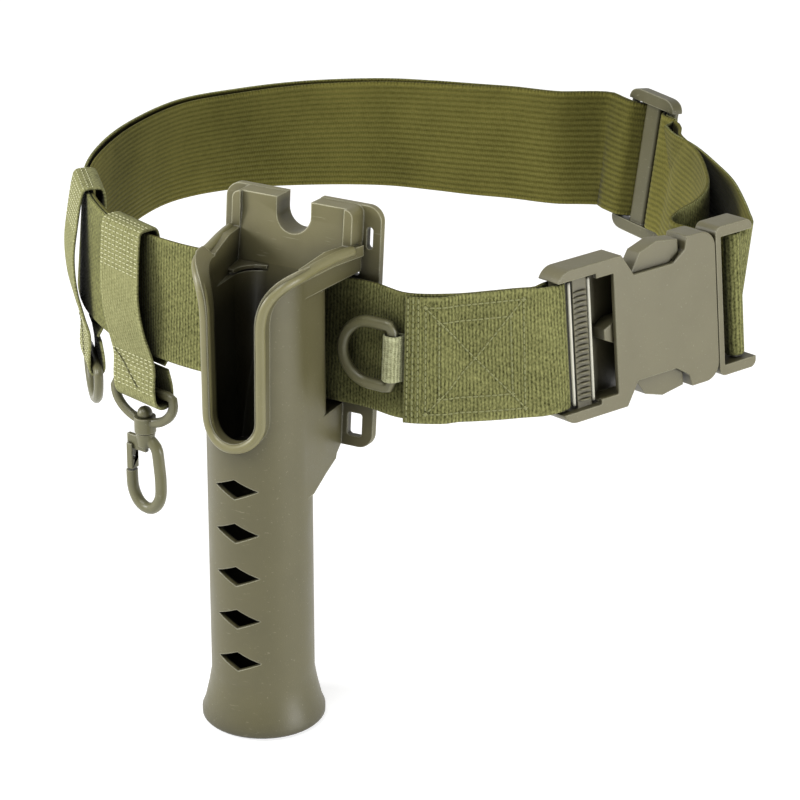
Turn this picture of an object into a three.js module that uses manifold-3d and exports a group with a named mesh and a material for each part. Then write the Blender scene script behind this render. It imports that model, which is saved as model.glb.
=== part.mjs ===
// A fishing fighting belt: one long webbing strap closed by a side release buckle, a moulded rod
// holder that it carries in front, a slider, a sewn ring and two hanger loops with their hardware.
// Millimetres, +Z up. The origin is the middle of the waist hollow at the strap's mid height,
// and the rod holder faces -Y.
import * as THREE from 'three';
import { mergeVertices } from 'three/addons/utils/BufferGeometryUtils.js';
import Module from 'manifold-3d';

const wasm = await Module();
wasm.setup();

// Strap and its loop
const strapWidth = 50;
const strapThickness = 1.5;
const clearance = 0.3;
const loopRadius = 125;
const frontReach = 0.884;
const foldLength = 59.5;
const tailStandOff = 1.6;
const tailParting = { from: 60, to: 120 };

// Rod holder
const tubeRadius = 20;
const boreRadius = 17.6;
const standOff = 28.5;
const holderForward = frontReach * loopRadius + standOff;
const holderTop = 41.5;
const rimSlope = 0.1;
const holderBottom = 150.5;
const floorThickness = 3;
const drainRadius = 4;
const flangeRadius = 24;
const lipProud = 2.8;
const lipWidth = 3.4;
const cutHalfWidth = 9.6;
const cutBottom = -29.2;
const wallFlare = 0.16;
const backCorner = 12;
const plateBack = standOff + 3.7;
const plateLean = 5.5;
const plateThickness = 3;
const plateHalfWidth = 33.2;
const plateTop = 52.2;
const plateBottom = -43.3;
const shoulderInner = 7.3;
const shoulderOuter = 25.6;
const shoulderDepth = 9.4;
const shoulderHeight = 14;
const channelDepth = 7.2;
const diamondHeight = 8.2;
const diamondReach = 9.1;
const diamondPitch = 18.2;
const firstDiamond = -47;
const diamondCount = 5;
// Slots through the plate, mirrored: distance from the middle, heights and half width
const plateSlots = [
  { out: 28.6, from: plateTop - 16.5, to: plateTop - 8, half: 1.3 },
  { out: 23.4, from: 24.5, to: 30, half: 1.3 },
  { out: 25.5, from: plateBottom + 4, to: plateBottom + 13.3, half: 3.1 },
];

// Buckle: the socket is sewn to the strap, the plug slides on it
const buckleAt = { x: 0.7656 * loopRadius, y: -0.6336 * loopRadius, heading: 64, lean: 6 };
const buckleHalfHeight = 30.3;
const buckleThickness = 12;
const rimHeight = 4.3;
const wall = 2;
const foldBarRadius = 2.2;
const socketStart = -3.5;
const socketEnd = 75;
const ladderBar = { from: 6.1, to: 13 };
const faceStart = 24;
const backStart = 15.5;
const thumbCut = { from: 30, to: 61.5, deep: 9 };
const plugEnd = 94;
const endBarAt = 88;
const windowStart = 78;
const armHeight = 4.5;

// Slider
const sliderAt = { x: 0.3768 * loopRadius, y: 0.9368 * loopRadius, heading: -27, lean: -9 };
const sliderHalfHeight = 31;
const sliderSideBar = 1.8;
const sliderMiddleBar = { radius: 1.4, half: 3.2 };
const sliderReach = 12.4;

// Ring sewn on the strap, hanger loops and their hardware
const ringWire = 2.3;
const ringLength = 26.4;
const ringHeight = 29;
const tabWidth = 18.4;
const tabGap = 4;
const tabThickness = 0.9;
const hangerWidth = 24.4;
const hangerThickness = 1.2;
const hangerEase = 2.9;
const hangerNeck = 12;
const dropWire = 2;
const dropWidth = 34.4;
const dropHeight = 21;
const eyeWire = 2;
const eyeWidth = 34.4;
const eyeHeight = 18;
const swivelRadius = 4.4;
const hookWire = 2.4;
const hookLength = 36;
const hookWidth = 20;
const ringSections = 36;
// How far the cutting solids reach past what they cut
const far = 60;

const plyStep = strapThickness + clearance;
const up = new THREE.Vector3(0, 0, 1);
const radians = THREE.MathUtils.degToRad;
const degrees = THREE.MathUtils.radToDeg;
const ease = THREE.MathUtils.smoothstep;
const along = (origin, ...steps) => {
  const point = origin.clone();
  for (const [direction, distance] of steps) point.addScaledVector(direction, distance);
  return point;
};

// A closed skin over rings of points, capped at both ends or joined round to the first ring
function loft(rings, closed = false) {
  const count = rings[0].length;
  const faces = [];
  const bands = closed ? rings.length : rings.length - 1;
  for (let band = 0; band < bands; band++) {
    const here = band * count;
    const next = ((band + 1) % rings.length) * count;
    for (let i = 0; i < count; i++) {
      const j = (i + 1) % count;
      faces.push(here + i, here + j, next + j, here + i, next + j, next + i);
    }
  }
  if (!closed) {
    const last = (rings.length - 1) * count;
    for (let i = 1; i < count - 1; i++) faces.push(0, i + 1, i, last, last + i, last + i + 1);
  }
  const points = rings.flat();
  let volume = 0;
  for (let f = 0; f < faces.length; f += 3) {
    const [a, b, c] = [points[faces[f]], points[faces[f + 1]], points[faces[f + 2]]];
    volume += a.dot(b.clone().cross(c));
  }
  if (volume < 0) faces.reverse();
  const geometry = new THREE.BufferGeometry();
  const flat = points.flatMap((point) => point.toArray());
  geometry.setAttribute('position', new THREE.Float32BufferAttribute(flat, 3));
  geometry.setIndex(faces);
  return geometry;
}

// Webbing: a flat band through stations that hold its middle and the direction across it
function webbing(stations, width, thickness) {
  const rings = stations.map((station, i) => {
    const before = stations[Math.max(i - 1, 0)].at;
    const after = stations[Math.min(i + 1, stations.length - 1)].at;
    const arriving = station.at.clone().sub(before);
    const leaving = after.clone().sub(station.at);
    if (i === 0) arriving.copy(leaving);
    if (i === stations.length - 1) leaving.copy(arriving);
    arriving.normalize();
    leaving.normalize();
    const direction = arriving.clone().add(leaving).normalize();
    const face = direction.clone().cross(station.across).normalize();
    const half = thickness / 2 / Math.max(0.6, direction.dot(arriving));
    const side = width / 2;
    return [[-side, -half], [side, -half], [side, half], [-side, half]].map(([across, out]) =>
      along(station.at, [station.across, across], [face, out]));
  });
  return loft(rings);
}

// Solids for joining and cutting
function solid(geometry) {
  const plain = geometry.clone();
  plain.deleteAttribute('normal');
  plain.deleteAttribute('uv');
  const merged = mergeVertices(plain, 1e-4);
  return new wasm.Manifold(new wasm.Mesh({
    numProp: 3,
    vertProperties: Float32Array.from(merged.attributes.position.array),
    triVerts: Uint32Array.from(merged.index.array),
  }));
}

function geometryOf(manifold) {
  const mesh = manifold.getMesh();
  const geometry = new THREE.BufferGeometry();
  geometry.setAttribute('position', new THREE.Float32BufferAttribute(mesh.vertProperties, 3));
  geometry.setIndex(Array.from(mesh.triVerts));
  return geometry;
}

const outline = (points) => new THREE.Shape(points.map(([x, y]) => new THREE.Vector2(x, y)));

function roundedOutline(left, bottom, right, top, radius) {
  const shape = new THREE.Shape();
  shape.moveTo(left + radius, bottom);
  shape.lineTo(right - radius, bottom);
  shape.absarc(right - radius, bottom + radius, radius, -Math.PI / 2, 0);
  shape.lineTo(right, top - radius);
  shape.absarc(right - radius, top - radius, radius, 0, Math.PI / 2);
  shape.lineTo(left + radius, top);
  shape.absarc(left + radius, top - radius, radius, Math.PI / 2, Math.PI);
  shape.lineTo(left, bottom + radius);
  shape.absarc(left + radius, bottom + radius, radius, Math.PI, Math.PI * 1.5);
  return shape;
}

// Prisms: a shape drawn in plan raised along Z, one drawn in front view run along Y,
// and one drawn in side view (Y, Z) run along X
const prism = (shape, depth, curveSegments) =>
  new THREE.ExtrudeGeometry(shape, { depth, bevelEnabled: false, curveSegments });
const prismUp = (shape, from, to, curves = 10) =>
  prism(shape, to - from, curves).translate(0, 0, from);
const prismBack = (shape, from, to, curves = 8) =>
  prism(shape, to - from, curves).rotateX(Math.PI / 2).translate(0, to, 0);
const prismAcross = (shape, from, to) =>
  prism(shape, to - from, 12).rotateY(Math.PI / 2).rotateX(Math.PI / 2).translate(from, 0, 0);

const box = (x0, y0, z0, x1, y1, z1) => new THREE.BoxGeometry(x1 - x0, y1 - y0, z1 - z0)
  .translate((x0 + x1) / 2, (y0 + y1) / 2, (z0 + z1) / 2);

// Frames: a place on the loop with its heading, the outward face and the tilted height
function frameAt({ x, y, heading, lean }, outwardTurn) {
  const turn = radians(heading);
  const run = new THREE.Vector3(Math.cos(turn), Math.sin(turn), 0);
  const flat = new THREE.Vector3(-run.y, run.x, 0).multiplyScalar(outwardTurn);
  const [level, tipped] = [Math.cos(radians(lean)), Math.sin(radians(lean))];
  const rise = along(new THREE.Vector3(), [up, level], [flat, -tipped]);
  const face = along(new THREE.Vector3(), [flat, level], [up, tipped]);
  return { origin: new THREE.Vector3(x, y, 0), run, face, rise, lean };
}

const place = (frame, run, face, rise = 0) =>
  along(frame.origin, [frame.run, run], [frame.face, face], [frame.rise, rise]);

// A piece drawn in a frame's own axes (X along its run, Y towards its face, Z its height)
function stand(geometry, frame, mirrored) {
  const matrix = new THREE.Matrix4().makeBasis(frame.run, frame.face, frame.rise).setPosition(frame.origin);
  const placed = geometry.clone().applyMatrix4(matrix);
  if (mirrored) {
    const index = Array.from(placed.index.array);
    placed.setIndex(index.reverse());
  }
  return placed;
}

const buckle = frameAt(buckleAt, -1);
const slider = frameAt(sliderAt, 1);

// The strap's middle line, seen from above: turn is measured from the front, growing to the
// right hand side, reach is a share of the loop radius, lean tips the top edge inwards
const loopTable = [
  { turn: 43.0, reach: 1.003, lean: 9 },
  { turn: 38.4, reach: 1.002, lean: 8 },
  { turn: 31.5, reach: 1.003, lean: 5 },
  { turn: 23.1, reach: 0.990, lean: 4 },
  { turn: 16.0, reach: 0.918, lean: 5 },
  { turn: 0.0, reach: frontReach, lean: 5.5 },
  { turn: -16.0, reach: 0.918, lean: 5 },
  { turn: -26.9, reach: 0.970, lean: 3 },
  { turn: -38.0, reach: 1.021, lean: 1 },
  { turn: -46.0, reach: 1.047, lean: 1 },
  { turn: -57.0, reach: 1.081, lean: 3 },
  { turn: -68.5, reach: 1.105, lean: 5 },
  { turn: -80.0, reach: 1.112, lean: 7 },
  { turn: -92.0, reach: 1.128, lean: 10 },
  { turn: -105.7, reach: 1.146, lean: 14 },
  { turn: -117.0, reach: 1.101, lean: 14.5 },
  { turn: -129.7, reach: 1.039, lean: 10 },
  { turn: -145.0, reach: 0.978, lean: 6 },
  { turn: -155.1, reach: 0.936, lean: 2.5 },
  { turn: -163.7, reach: 0.918, lean: -1 },
  { turn: -172.3, reach: 0.925, lean: -3 },
  { turn: -183.0, reach: 0.947, lean: -4 },
];
const sliderEntry = sliderReach + 5;
const pathPoint = ({ turn, reach, lean }) => new THREE.Vector3(
  Math.sin(radians(turn)) * reach * loopRadius, -Math.cos(radians(turn)) * reach * loopRadius, lean);
const loopPoints = [
  place(buckle, 0, 0).setZ(buckleAt.lean),
  place(buckle, -8, 0).setZ(buckleAt.lean + 2),
  ...loopTable.map(pathPoint),
  place(slider, -sliderEntry - 8, 0).setZ(sliderAt.lean + 2),
  place(slider, -sliderEntry - 1, 0).setZ(sliderAt.lean),
];
// The third coordinate of this curve carries the lean in degrees
const loopCurve = new THREE.CatmullRomCurve3(loopPoints, false, 'centripetal');
loopCurve.arcLengthDivisions = 600;
const loopLength = loopCurve.getLength();

function loopFrame(distance) {
  const share = THREE.MathUtils.clamp(distance / loopLength, 0, 1);
  const point = loopCurve.getPointAt(share);
  const tangent = loopCurve.getTangentAt(share);
  const heading = degrees(Math.atan2(tangent.y, tangent.x));
  return frameAt({ x: point.x, y: point.y, heading, lean: point.z }, 1);
}

const station = (frame, run, out) => ({ at: place(frame, run, out), across: frame.rise });

function arc(frame, centre, radius, fromAngle, toAngle, steps) {
  const stations = [];
  for (let i = 0; i <= steps; i++) {
    const angle = radians(fromAngle + (toAngle - fromAngle) * i / steps);
    stations.push(station(frame, centre + radius * Math.cos(angle), radius * Math.sin(angle)));
  }
  return stations;
}

// Strap: fold end, round the socket's bar, round the waist, through the slider, round the
// plug's bar and back through the slider to the free tail
const foldRadius = foldBarRadius + clearance + strapThickness / 2;
const tabLift = 2 * (tabThickness + clearance);
const tabDepth = 13;
const pitch = 6;

function stretch(from, to, offset) {
  const steps = Math.max(2, Math.round(Math.abs(to - from) / pitch));
  const stations = [];
  for (let i = 0; i <= steps; i++) {
    const distance = from + (to - from) * i / steps;
    stations.push(station(loopFrame(distance), 0, offset(distance)));
  }
  return stations;
}

const foldSpread = 14;
const innerFold = (d) => -foldRadius * (1 - ease(d, 0, foldSpread));
const outerFold = (d) => plyStep + (foldRadius - plyStep) * (1 - ease(d, 0, foldSpread))
  + tabLift * ease(d, foldLength - tabDepth - 7, foldLength - tabDepth);

// Weaving round the slider's bars: ply 0 lies against the middle bar, ply 1 outside it
function weave(ply) {
  const side = sliderSideBar + clearance + strapThickness / 2 + (1 - ply) * plyStep;
  const middle = sliderMiddleBar.radius + clearance + strapThickness / 2 + ply * plyStep;
  const slope = degrees(Math.asin((side + middle) / (sliderReach - sliderMiddleBar.half)));
  return [
    station(slider, -sliderEntry, -side),
    ...arc(slider, -sliderReach, side, -90, -90 + slope, 3),
    ...arc(slider, -sliderMiddleBar.half, middle, 90 + slope, 90, 3),
    ...arc(slider, sliderMiddleBar.half, middle, 90, 90 - slope, 3),
    ...arc(slider, sliderReach, side, -90 - slope, -90, 3),
    station(slider, sliderEntry, -side),
  ];
}
const sideDepth = (ply) => sliderSideBar + clearance + strapThickness / 2 + (1 - ply) * plyStep;

// Between slider and plug the two plies part: the inner one bulges into the waist.
// Shares of the loop radius, in the turns of the table above.
const innerBulge = [
  { turn: 143.5, reach: 0.930, lean: -6 },
  { turn: 133.0, reach: 0.922, lean: -3 },
  { turn: 123.0, reach: 0.916, lean: 0 },
  { turn: 113.0, reach: 0.914, lean: 2 },
  { turn: 104.0, reach: 0.896, lean: 4 },
  { turn: 97.0, reach: 0.868, lean: 6 },
  { turn: 91.5, reach: 0.872, lean: 6 },
];
const outerReturn = [
  { turn: 95.5, reach: 1.072, lean: 6 },
  { turn: 100.0, reach: 1.046, lean: 5 },
  { turn: 107.0, reach: 1.014, lean: 3 },
  { turn: 116.0, reach: 0.990, lean: 0 },
  { turn: 125.0, reach: 0.966, lean: -2 },
  { turn: 136.0, reach: 0.960, lean: -5 },
  { turn: 144.5, reach: 0.958, lean: -7 },
];
function freePly(points, steps) {
  const curve = new THREE.CatmullRomCurve3(points, false, 'centripetal');
  const stations = [];
  for (let i = 1; i < steps; i++) {
    const point = curve.getPointAt(i / steps);
    const tangent = curve.getTangentAt(i / steps);
    const heading = degrees(Math.atan2(tangent.y, tangent.x));
    stations.push(station(frameAt({ x: point.x, y: point.y, heading, lean: point.z }, 1), 0, 0));
  }
  return stations;
}

const endBarRadius = 2.2;
const endWrap = endBarRadius + clearance + strapThickness / 2;
const withLean = (frame, lean, run, out) => place(frame, run, out).setZ(lean);
const innerPly = freePly([
  withLean(slider, sliderAt.lean, sliderEntry, -sideDepth(0)),
  withLean(slider, sliderAt.lean, sliderEntry + 3, -sideDepth(0) - 0.1),
  ...innerBulge.map(pathPoint),
  withLean(buckle, buckleAt.lean, endBarAt - 7, -16),
  withLean(buckle, buckleAt.lean, endBarAt - endWrap - 0.6, -5),
  withLean(buckle, buckleAt.lean, endBarAt - endWrap, 0),
], 26);
const outerPly = freePly([
  withLean(buckle, buckleAt.lean, endBarAt + endWrap, 0),
  withLean(buckle, buckleAt.lean, endBarAt + endWrap + 1, -4),
  ...outerReturn.map(pathPoint),
  withLean(slider, sliderAt.lean, sliderEntry + 3, -sideDepth(1) - 0.1),
  withLean(slider, sliderAt.lean, sliderEntry, -sideDepth(1)),
], 24);

// Hanger loops: eye is the height of the bar below, swing its yaw past the band's own twist
const hangers = [
  { name: 'a', turn: -58, slant: 12, bow: 3.5, twist: 0, eye: -44.5, swing: 0, ease: 0 },
  { name: 'b', turn: -36.5, slant: 6, bow: 3, twist: 4, eye: -41.5, swing: 8, ease: 1.7 },
];
function distanceAtTurn(turn) {
  const target = radians(turn);
  let best = 0;
  let error = Infinity;
  for (let d = 0; d < loopLength; d += 0.25) {
    const point = loopCurve.getPointAt(d / loopLength);
    const angle = Math.atan2(point.x, -point.y);
    if (Math.abs(angle - target) < error) {
      error = Math.abs(angle - target);
      best = d;
    }
  }
  return best;
}
const tailEnd = distanceAtTurn(hangers[1].turn) - 4;
const mainOffset = (d) => innerFold(d) - sideDepth(0) * ease(d, loopLength - 26, loopLength);
const tailOffset = (d) => plyStep
  + tailStandOff * ease(d, tailEnd + tailParting.from, tailEnd + tailParting.to)
  * (1 - ease(d, loopLength - 90, loopLength - 40))
  - (plyStep + sideDepth(1)) * ease(d, loopLength - 26, loopLength);

const strapStations = [
  ...stretch(foldLength, 2, outerFold),
  ...arc(buckle, 0, foldRadius, 90, -90, 8),
  ...stretch(2, loopLength, mainOffset),
  ...weave(0),
  ...innerPly,
  ...arc(buckle, endBarAt, endWrap, 180, 0, 8),
  ...outerPly,
  ...weave(1).reverse(),
  ...stretch(loopLength, tailEnd, tailOffset),
];
const strapGeometry = webbing(strapStations, strapWidth, strapThickness);

// Rod holder, drawn with its tube on the Z axis: X across, +Y towards the waist
// A plan round in front whose sides run back, flaring by a share or closing with round corners
function cupPlan(radius, back, flare, corner) {
  const half = radius + flare * back;
  const shape = new THREE.Shape();
  shape.moveTo(-radius, 0);
  shape.absarc(0, 0, radius, Math.PI, Math.PI * 2, false);
  shape.lineTo(half, back - corner);
  if (corner > 0) shape.absarc(half - corner, back - corner, corner, 0, Math.PI / 2, false);
  else shape.lineTo(-half, back);
  if (corner > 0) shape.absarc(corner - half, back - corner, corner, Math.PI / 2, Math.PI, false);
  return shape;
}

function cutOutline(grow) {
  const half = cutHalfWidth + grow;
  const rim = holderTop - grow;
  const shape = new THREE.Shape();
  const arcZ = cutBottom + cutHalfWidth;
  shape.moveTo(half, arcZ);
  shape.lineTo(half + 0.4, holderTop - 22);
  shape.bezierCurveTo(half + 1, holderTop - 12, half + 5.5, rim - 5, half + 12, rim - 1.2);
  shape.lineTo(half + 40, rim + 1);
  shape.lineTo(half + 40, holderTop + 40);
  shape.lineTo(-half - 40, holderTop + 40);
  shape.lineTo(-half - 40, rim + 1);
  shape.lineTo(-half - 12, rim - 1.2);
  shape.bezierCurveTo(-half - 5.5, rim - 5, -half - 1, holderTop - 12, -half - 0.4, holderTop - 22);
  shape.lineTo(-half, arcZ);
  shape.absarc(0, arcZ, half, Math.PI, Math.PI * 2, false);
  return shape;
}

function rodHolder() {
  const leanSlope = Math.tan(radians(plateLean));
  // What is drawn level in front view is slanted with the rim, which drops towards the back
  const slant = new THREE.Matrix4().set(1, 0, 0, 0, 0, 1, 0, 0, 0, -rimSlope, 1, 0, 0, 0, 0, 1);
  const slanted = (geometry) => solid(geometry.applyMatrix4(slant));
  const plateFront = (z) => plateBack + leanSlope * z;
  const halfStrap = strapWidth / 2 + 1.6;
  const channelFront = plateBack - channelDepth;
  // Outer body: tube with its foot flange, and the deep cup that reaches back to the plate
  const tube = solid(new THREE.LatheGeometry([
    [0, -holderBottom], [flangeRadius - 0.6, -holderBottom], [flangeRadius, -holderBottom + 0.7],
    [flangeRadius, -holderBottom + 3], [flangeRadius - 1.2, -holderBottom + 6],
    [tubeRadius + 1.2, -holderBottom + 13], [tubeRadius, -holderBottom + 20],
    [tubeRadius, -20], [0, -20],
  ].map(([x, y]) => new THREE.Vector2(x, y)), 48).rotateX(Math.PI / 2));
  const foot = plateFront(plateBottom);
  const side = [
    [-far, far], [plateFront(holderTop) + 1, far], [foot + 1, plateBottom + 1],
    [foot - 3.5, plateBottom - 2.7], [tubeRadius + 4, plateBottom - 4.5],
    [tubeRadius - 4, plateBottom - 7.5], [tubeRadius * 0.3, plateBottom - 12],
    [-far, plateBottom - 12],
  ];
  const sideView = solid(prismAcross(outline(side), -far, far));
  const belowRim = slanted(box(-far, -far, -2 * far, far, far, holderTop));
  // Behind the cup the strap passes: there its back is round, above it the walls flare out
  const cup = solid(prismUp(cupPlan(tubeRadius, far, wallFlare, 0), halfStrap, far))
    .add(solid(prismUp(cupPlan(tubeRadius, channelFront, 0, backCorner), -halfStrap - 1, halfStrap + 1)))
    .add(solid(prismUp(cupPlan(tubeRadius, far, 0, 0), -2 * far, -halfStrap)))
    .intersect(sideView).intersect(belowRim);
  // Back plate with rounded corners, leaning back towards the top, and its two shoulders
  const tilt = new THREE.Matrix4().makeRotationX(-radians(plateLean));
  const upright = 1 / Math.cos(radians(plateLean));
  const plateShape = roundedOutline(-plateHalfWidth, plateBottom * upright,
    plateHalfWidth, plateTop * upright, 6);
  const notch = new THREE.Shape();
  const notchBottom = holderTop - 2.5 + shoulderInner;
  notch.moveTo(-shoulderInner, plateTop * 1.2);
  notch.lineTo(-shoulderInner, notchBottom);
  notch.absarc(0, notchBottom, shoulderInner, Math.PI, Math.PI * 2, false);
  notch.lineTo(shoulderInner, plateTop * 1.2);
  let plate = solid(prismBack(plateShape, 0, plateThickness));
  const shoulderShape = roundedOutline(-shoulderOuter, plateTop - shoulderHeight - 2,
    shoulderOuter, plateTop, 3);
  plate = plate.add(solid(prismBack(shoulderShape, -shoulderDepth, plateThickness / 2)));
  plate = plate.subtract(solid(prismBack(notch, -far, far)));
  for (const hand of [-1, 1]) {
    for (const { out, from, to, half } of plateSlots) {
      const slot = roundedOutline(hand * out - half, from, hand * out + half, to, 1.25);
      plate = plate.subtract(solid(prismBack(slot, -3, 10, 4)));
    }
  }
  plate = solid(geometryOf(plate).applyMatrix4(tilt).translate(0, plateBack, 0));
  // Raised lip round the front cut-out and along the cup's top edge
  const lipBand = slanted(prismBack(cutOutline(lipWidth), -far, far));
  const proud = cupPlan(tubeRadius + lipProud, plateBack, wallFlare, 0);
  const lip = solid(prismUp(proud, cutBottom - 12, far)).intersect(lipBand).intersect(belowRim)
    .intersect(sideView);
  let holder = tube.add(cup).add(lip).add(plate);
  // Strap channel, the bore, the cup's hollow, the front cut-out and the drain
  const channel = [
    [channelFront, -halfStrap], [plateFront(-halfStrap), -halfStrap],
    [plateFront(halfStrap), halfStrap], [channelFront, halfStrap],
  ];
  holder = holder.subtract(solid(prismAcross(outline(channel), -far, far)));
  const boreDepth = holderBottom - floorThickness;
  const bore = solid(new THREE.CylinderGeometry(boreRadius, boreRadius, boreDepth + far, 48)
    .rotateX(Math.PI / 2).translate(0, 0, (far - boreDepth) / 2));
  const skin = tubeRadius - boreRadius;
  const hollowSide = [
    [-far, far], [-far, plateBottom], [boreRadius - 1, plateBottom], [channelFront - skin, 4],
    [channelFront - skin, halfStrap - 2], [channelFront + 4, holderTop + 4],
    [channelFront + 5, far],
  ];
  const hollowBack = channelFront - skin;
  const hollow = solid(prismUp(cupPlan(boreRadius, far, wallFlare, 0), halfStrap - 2, far))
    .add(solid(prismUp(cupPlan(boreRadius, hollowBack, 0, backCorner - skin), -far, halfStrap - 1)))
    .intersect(solid(prismAcross(outline(hollowSide), -far, far)));
  holder = holder.subtract(bore).subtract(hollow);
  holder = holder.subtract(slanted(prismBack(cutOutline(0), -far, 0)));
  holder = holder.subtract(solid(new THREE.CylinderGeometry(drainRadius, drainRadius, 20, 24)
    .rotateX(Math.PI / 2).translate(0, 0, -holderBottom)));
  for (let i = 0; i < diamondCount; i++) {
    const z = firstDiamond - diamondPitch * i;
    const diamond = outline([
      [-diamondReach, z], [0, z - diamondHeight / 2], [diamondReach, z], [0, z + diamondHeight / 2],
    ]);
    holder = holder.subtract(solid(prismBack(diamond, -far, 0)));
  }
  return geometryOf(holder).translate(0, -holderForward, 0);
}

// Buckle socket: a ladder frame for the sewn fold, and a hollow body with thumb cut-outs
const buckleHalfDepth = buckleThickness / 2;
function thumbOutline(hand) {
  const edge = buckleHalfHeight + 2;
  const floor = buckleHalfHeight - thumbCut.deep;
  return outline([
    [thumbCut.from - 3, hand * edge], [thumbCut.from + 4, hand * floor],
    [thumbCut.to - 8, hand * floor], [thumbCut.to - 2, hand * (floor + 4)],
    [thumbCut.to, hand * edge],
  ]);
}

function buckleSocket() {
  const innerHeight = buckleHalfHeight - rimHeight;
  const half = buckleHalfHeight;
  const shell = roundedOutline(socketStart, -half, socketEnd, half, 7);
  let body = solid(prismBack(shell, -buckleHalfDepth, buckleHalfDepth));
  body = body.subtract(solid(box(socketStart - 9, -20, -innerHeight, backStart, 20, innerHeight)));
  body = body.subtract(solid(box(backStart - 1, -buckleHalfDepth + wall, -innerHeight + 1,
    socketEnd + 9, buckleHalfDepth - wall, innerHeight - 1)));
  body = body.subtract(solid(box(backStart - 1, 0, -innerHeight + 2, faceStart, 20, innerHeight - 2)));
  body = body.subtract(solid(prismBack(thumbOutline(1), -20, 20)));
  body = body.subtract(solid(prismBack(thumbOutline(-1), -20, 20)));
  const barHeight = 2 * innerHeight + 2;
  body = body.add(solid(new THREE.CylinderGeometry(foldBarRadius, foldBarRadius, barHeight, 16)
    .rotateX(Math.PI / 2)));
  body = body.add(solid(prismBack(roundedOutline(ladderBar.from, -innerHeight - 1, ladderBar.to,
    innerHeight + 1, 0.5), -2, 3)));
  return geometryOf(body);
}

// Buckle plug: end frame with the strap's bar, two sprung arms with thumb pads, a centre guide
function bucklePlug() {
  const innerHeight = buckleHalfHeight - rimHeight;
  const start = socketEnd + clearance;
  const reach = faceStart - 4;
  let plug = solid(prismBack(roundedOutline(start, -buckleHalfHeight, plugEnd, buckleHalfHeight, 3),
    -buckleHalfDepth, buckleHalfDepth));
  plug = plug.subtract(solid(box(windowStart, -20, -innerHeight, plugEnd + 9, 20, innerHeight)));
  plug = plug.add(solid(new THREE.CylinderGeometry(endBarRadius, endBarRadius, 2 * innerHeight + 2, 16)
    .rotateX(Math.PI / 2).translate(endBarAt, 0, 0)));
  const depth = buckleHalfDepth - wall - clearance;
  for (const hand of [1, -1]) {
    const outer = innerHeight - 1 - clearance;
    const root = outer - armHeight;
    const pad = outline([
      [start + 1, hand * root], [start + 1, hand * outer], [thumbCut.to - 2, hand * outer],
      [thumbCut.to - 3.4, hand * (outer - 1)], [thumbCut.to - 3.4, hand * (buckleHalfHeight - 0.8)],
      [thumbCut.to - 14, hand * (buckleHalfHeight + 0.8)],
      [thumbCut.from + 9, hand * (buckleHalfHeight - 1.8)],
      [thumbCut.from + 3, hand * (outer - 5)], [thumbCut.from + 5, hand * (root - 3)],
      [thumbCut.to - 10, hand * (root - 1)],
    ]);
    plug = plug.add(solid(prismBack(pad, -depth, depth)));
  }
  plug = plug.add(solid(prismBack(outline([
    [start + 1, -5], [start + 1, 5], [reach + 6, 5], [reach, 2], [reach, -2], [reach + 6, -5],
  ]), -depth, depth)));
  return geometryOf(plug);
}

// Slider: two side bars and a middle bar between arched ends
function sliderBody() {
  const innerHeight = strapWidth / 2 + 1;
  const end = sliderReach + sliderSideBar;
  const depth = 2.6;
  const shape = new THREE.Shape();
  shape.moveTo(-end, -innerHeight - 1);
  shape.quadraticCurveTo(-end + 1, -sliderHalfHeight, -end + 7, -sliderHalfHeight);
  shape.lineTo(end - 7, -sliderHalfHeight);
  shape.quadraticCurveTo(end - 1, -sliderHalfHeight, end, -innerHeight - 1);
  shape.lineTo(end, innerHeight + 1);
  shape.quadraticCurveTo(end - 1, sliderHalfHeight, end - 7, sliderHalfHeight);
  shape.lineTo(-end + 7, sliderHalfHeight);
  shape.quadraticCurveTo(-end + 1, sliderHalfHeight, -end, innerHeight + 1);
  let body = solid(prismBack(shape, -depth, depth, 6));
  body = body.subtract(solid(box(-40, -20, -innerHeight, 40, 20, innerHeight)));
  for (const centre of [-sliderReach, sliderReach]) {
    const bar = new THREE.CylinderGeometry(sliderSideBar, sliderSideBar, 2 * innerHeight + 2, 14);
    body = body.add(solid(bar.rotateX(Math.PI / 2).translate(centre, 0, 0)));
  }
  const { radius, half } = sliderMiddleBar;
  const flat = roundedOutline(-half - radius, -radius, half + radius, radius, radius - 0.01);
  return geometryOf(body.add(solid(prismUp(flat, -innerHeight - 1, innerHeight + 1, 4))));
}

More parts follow.
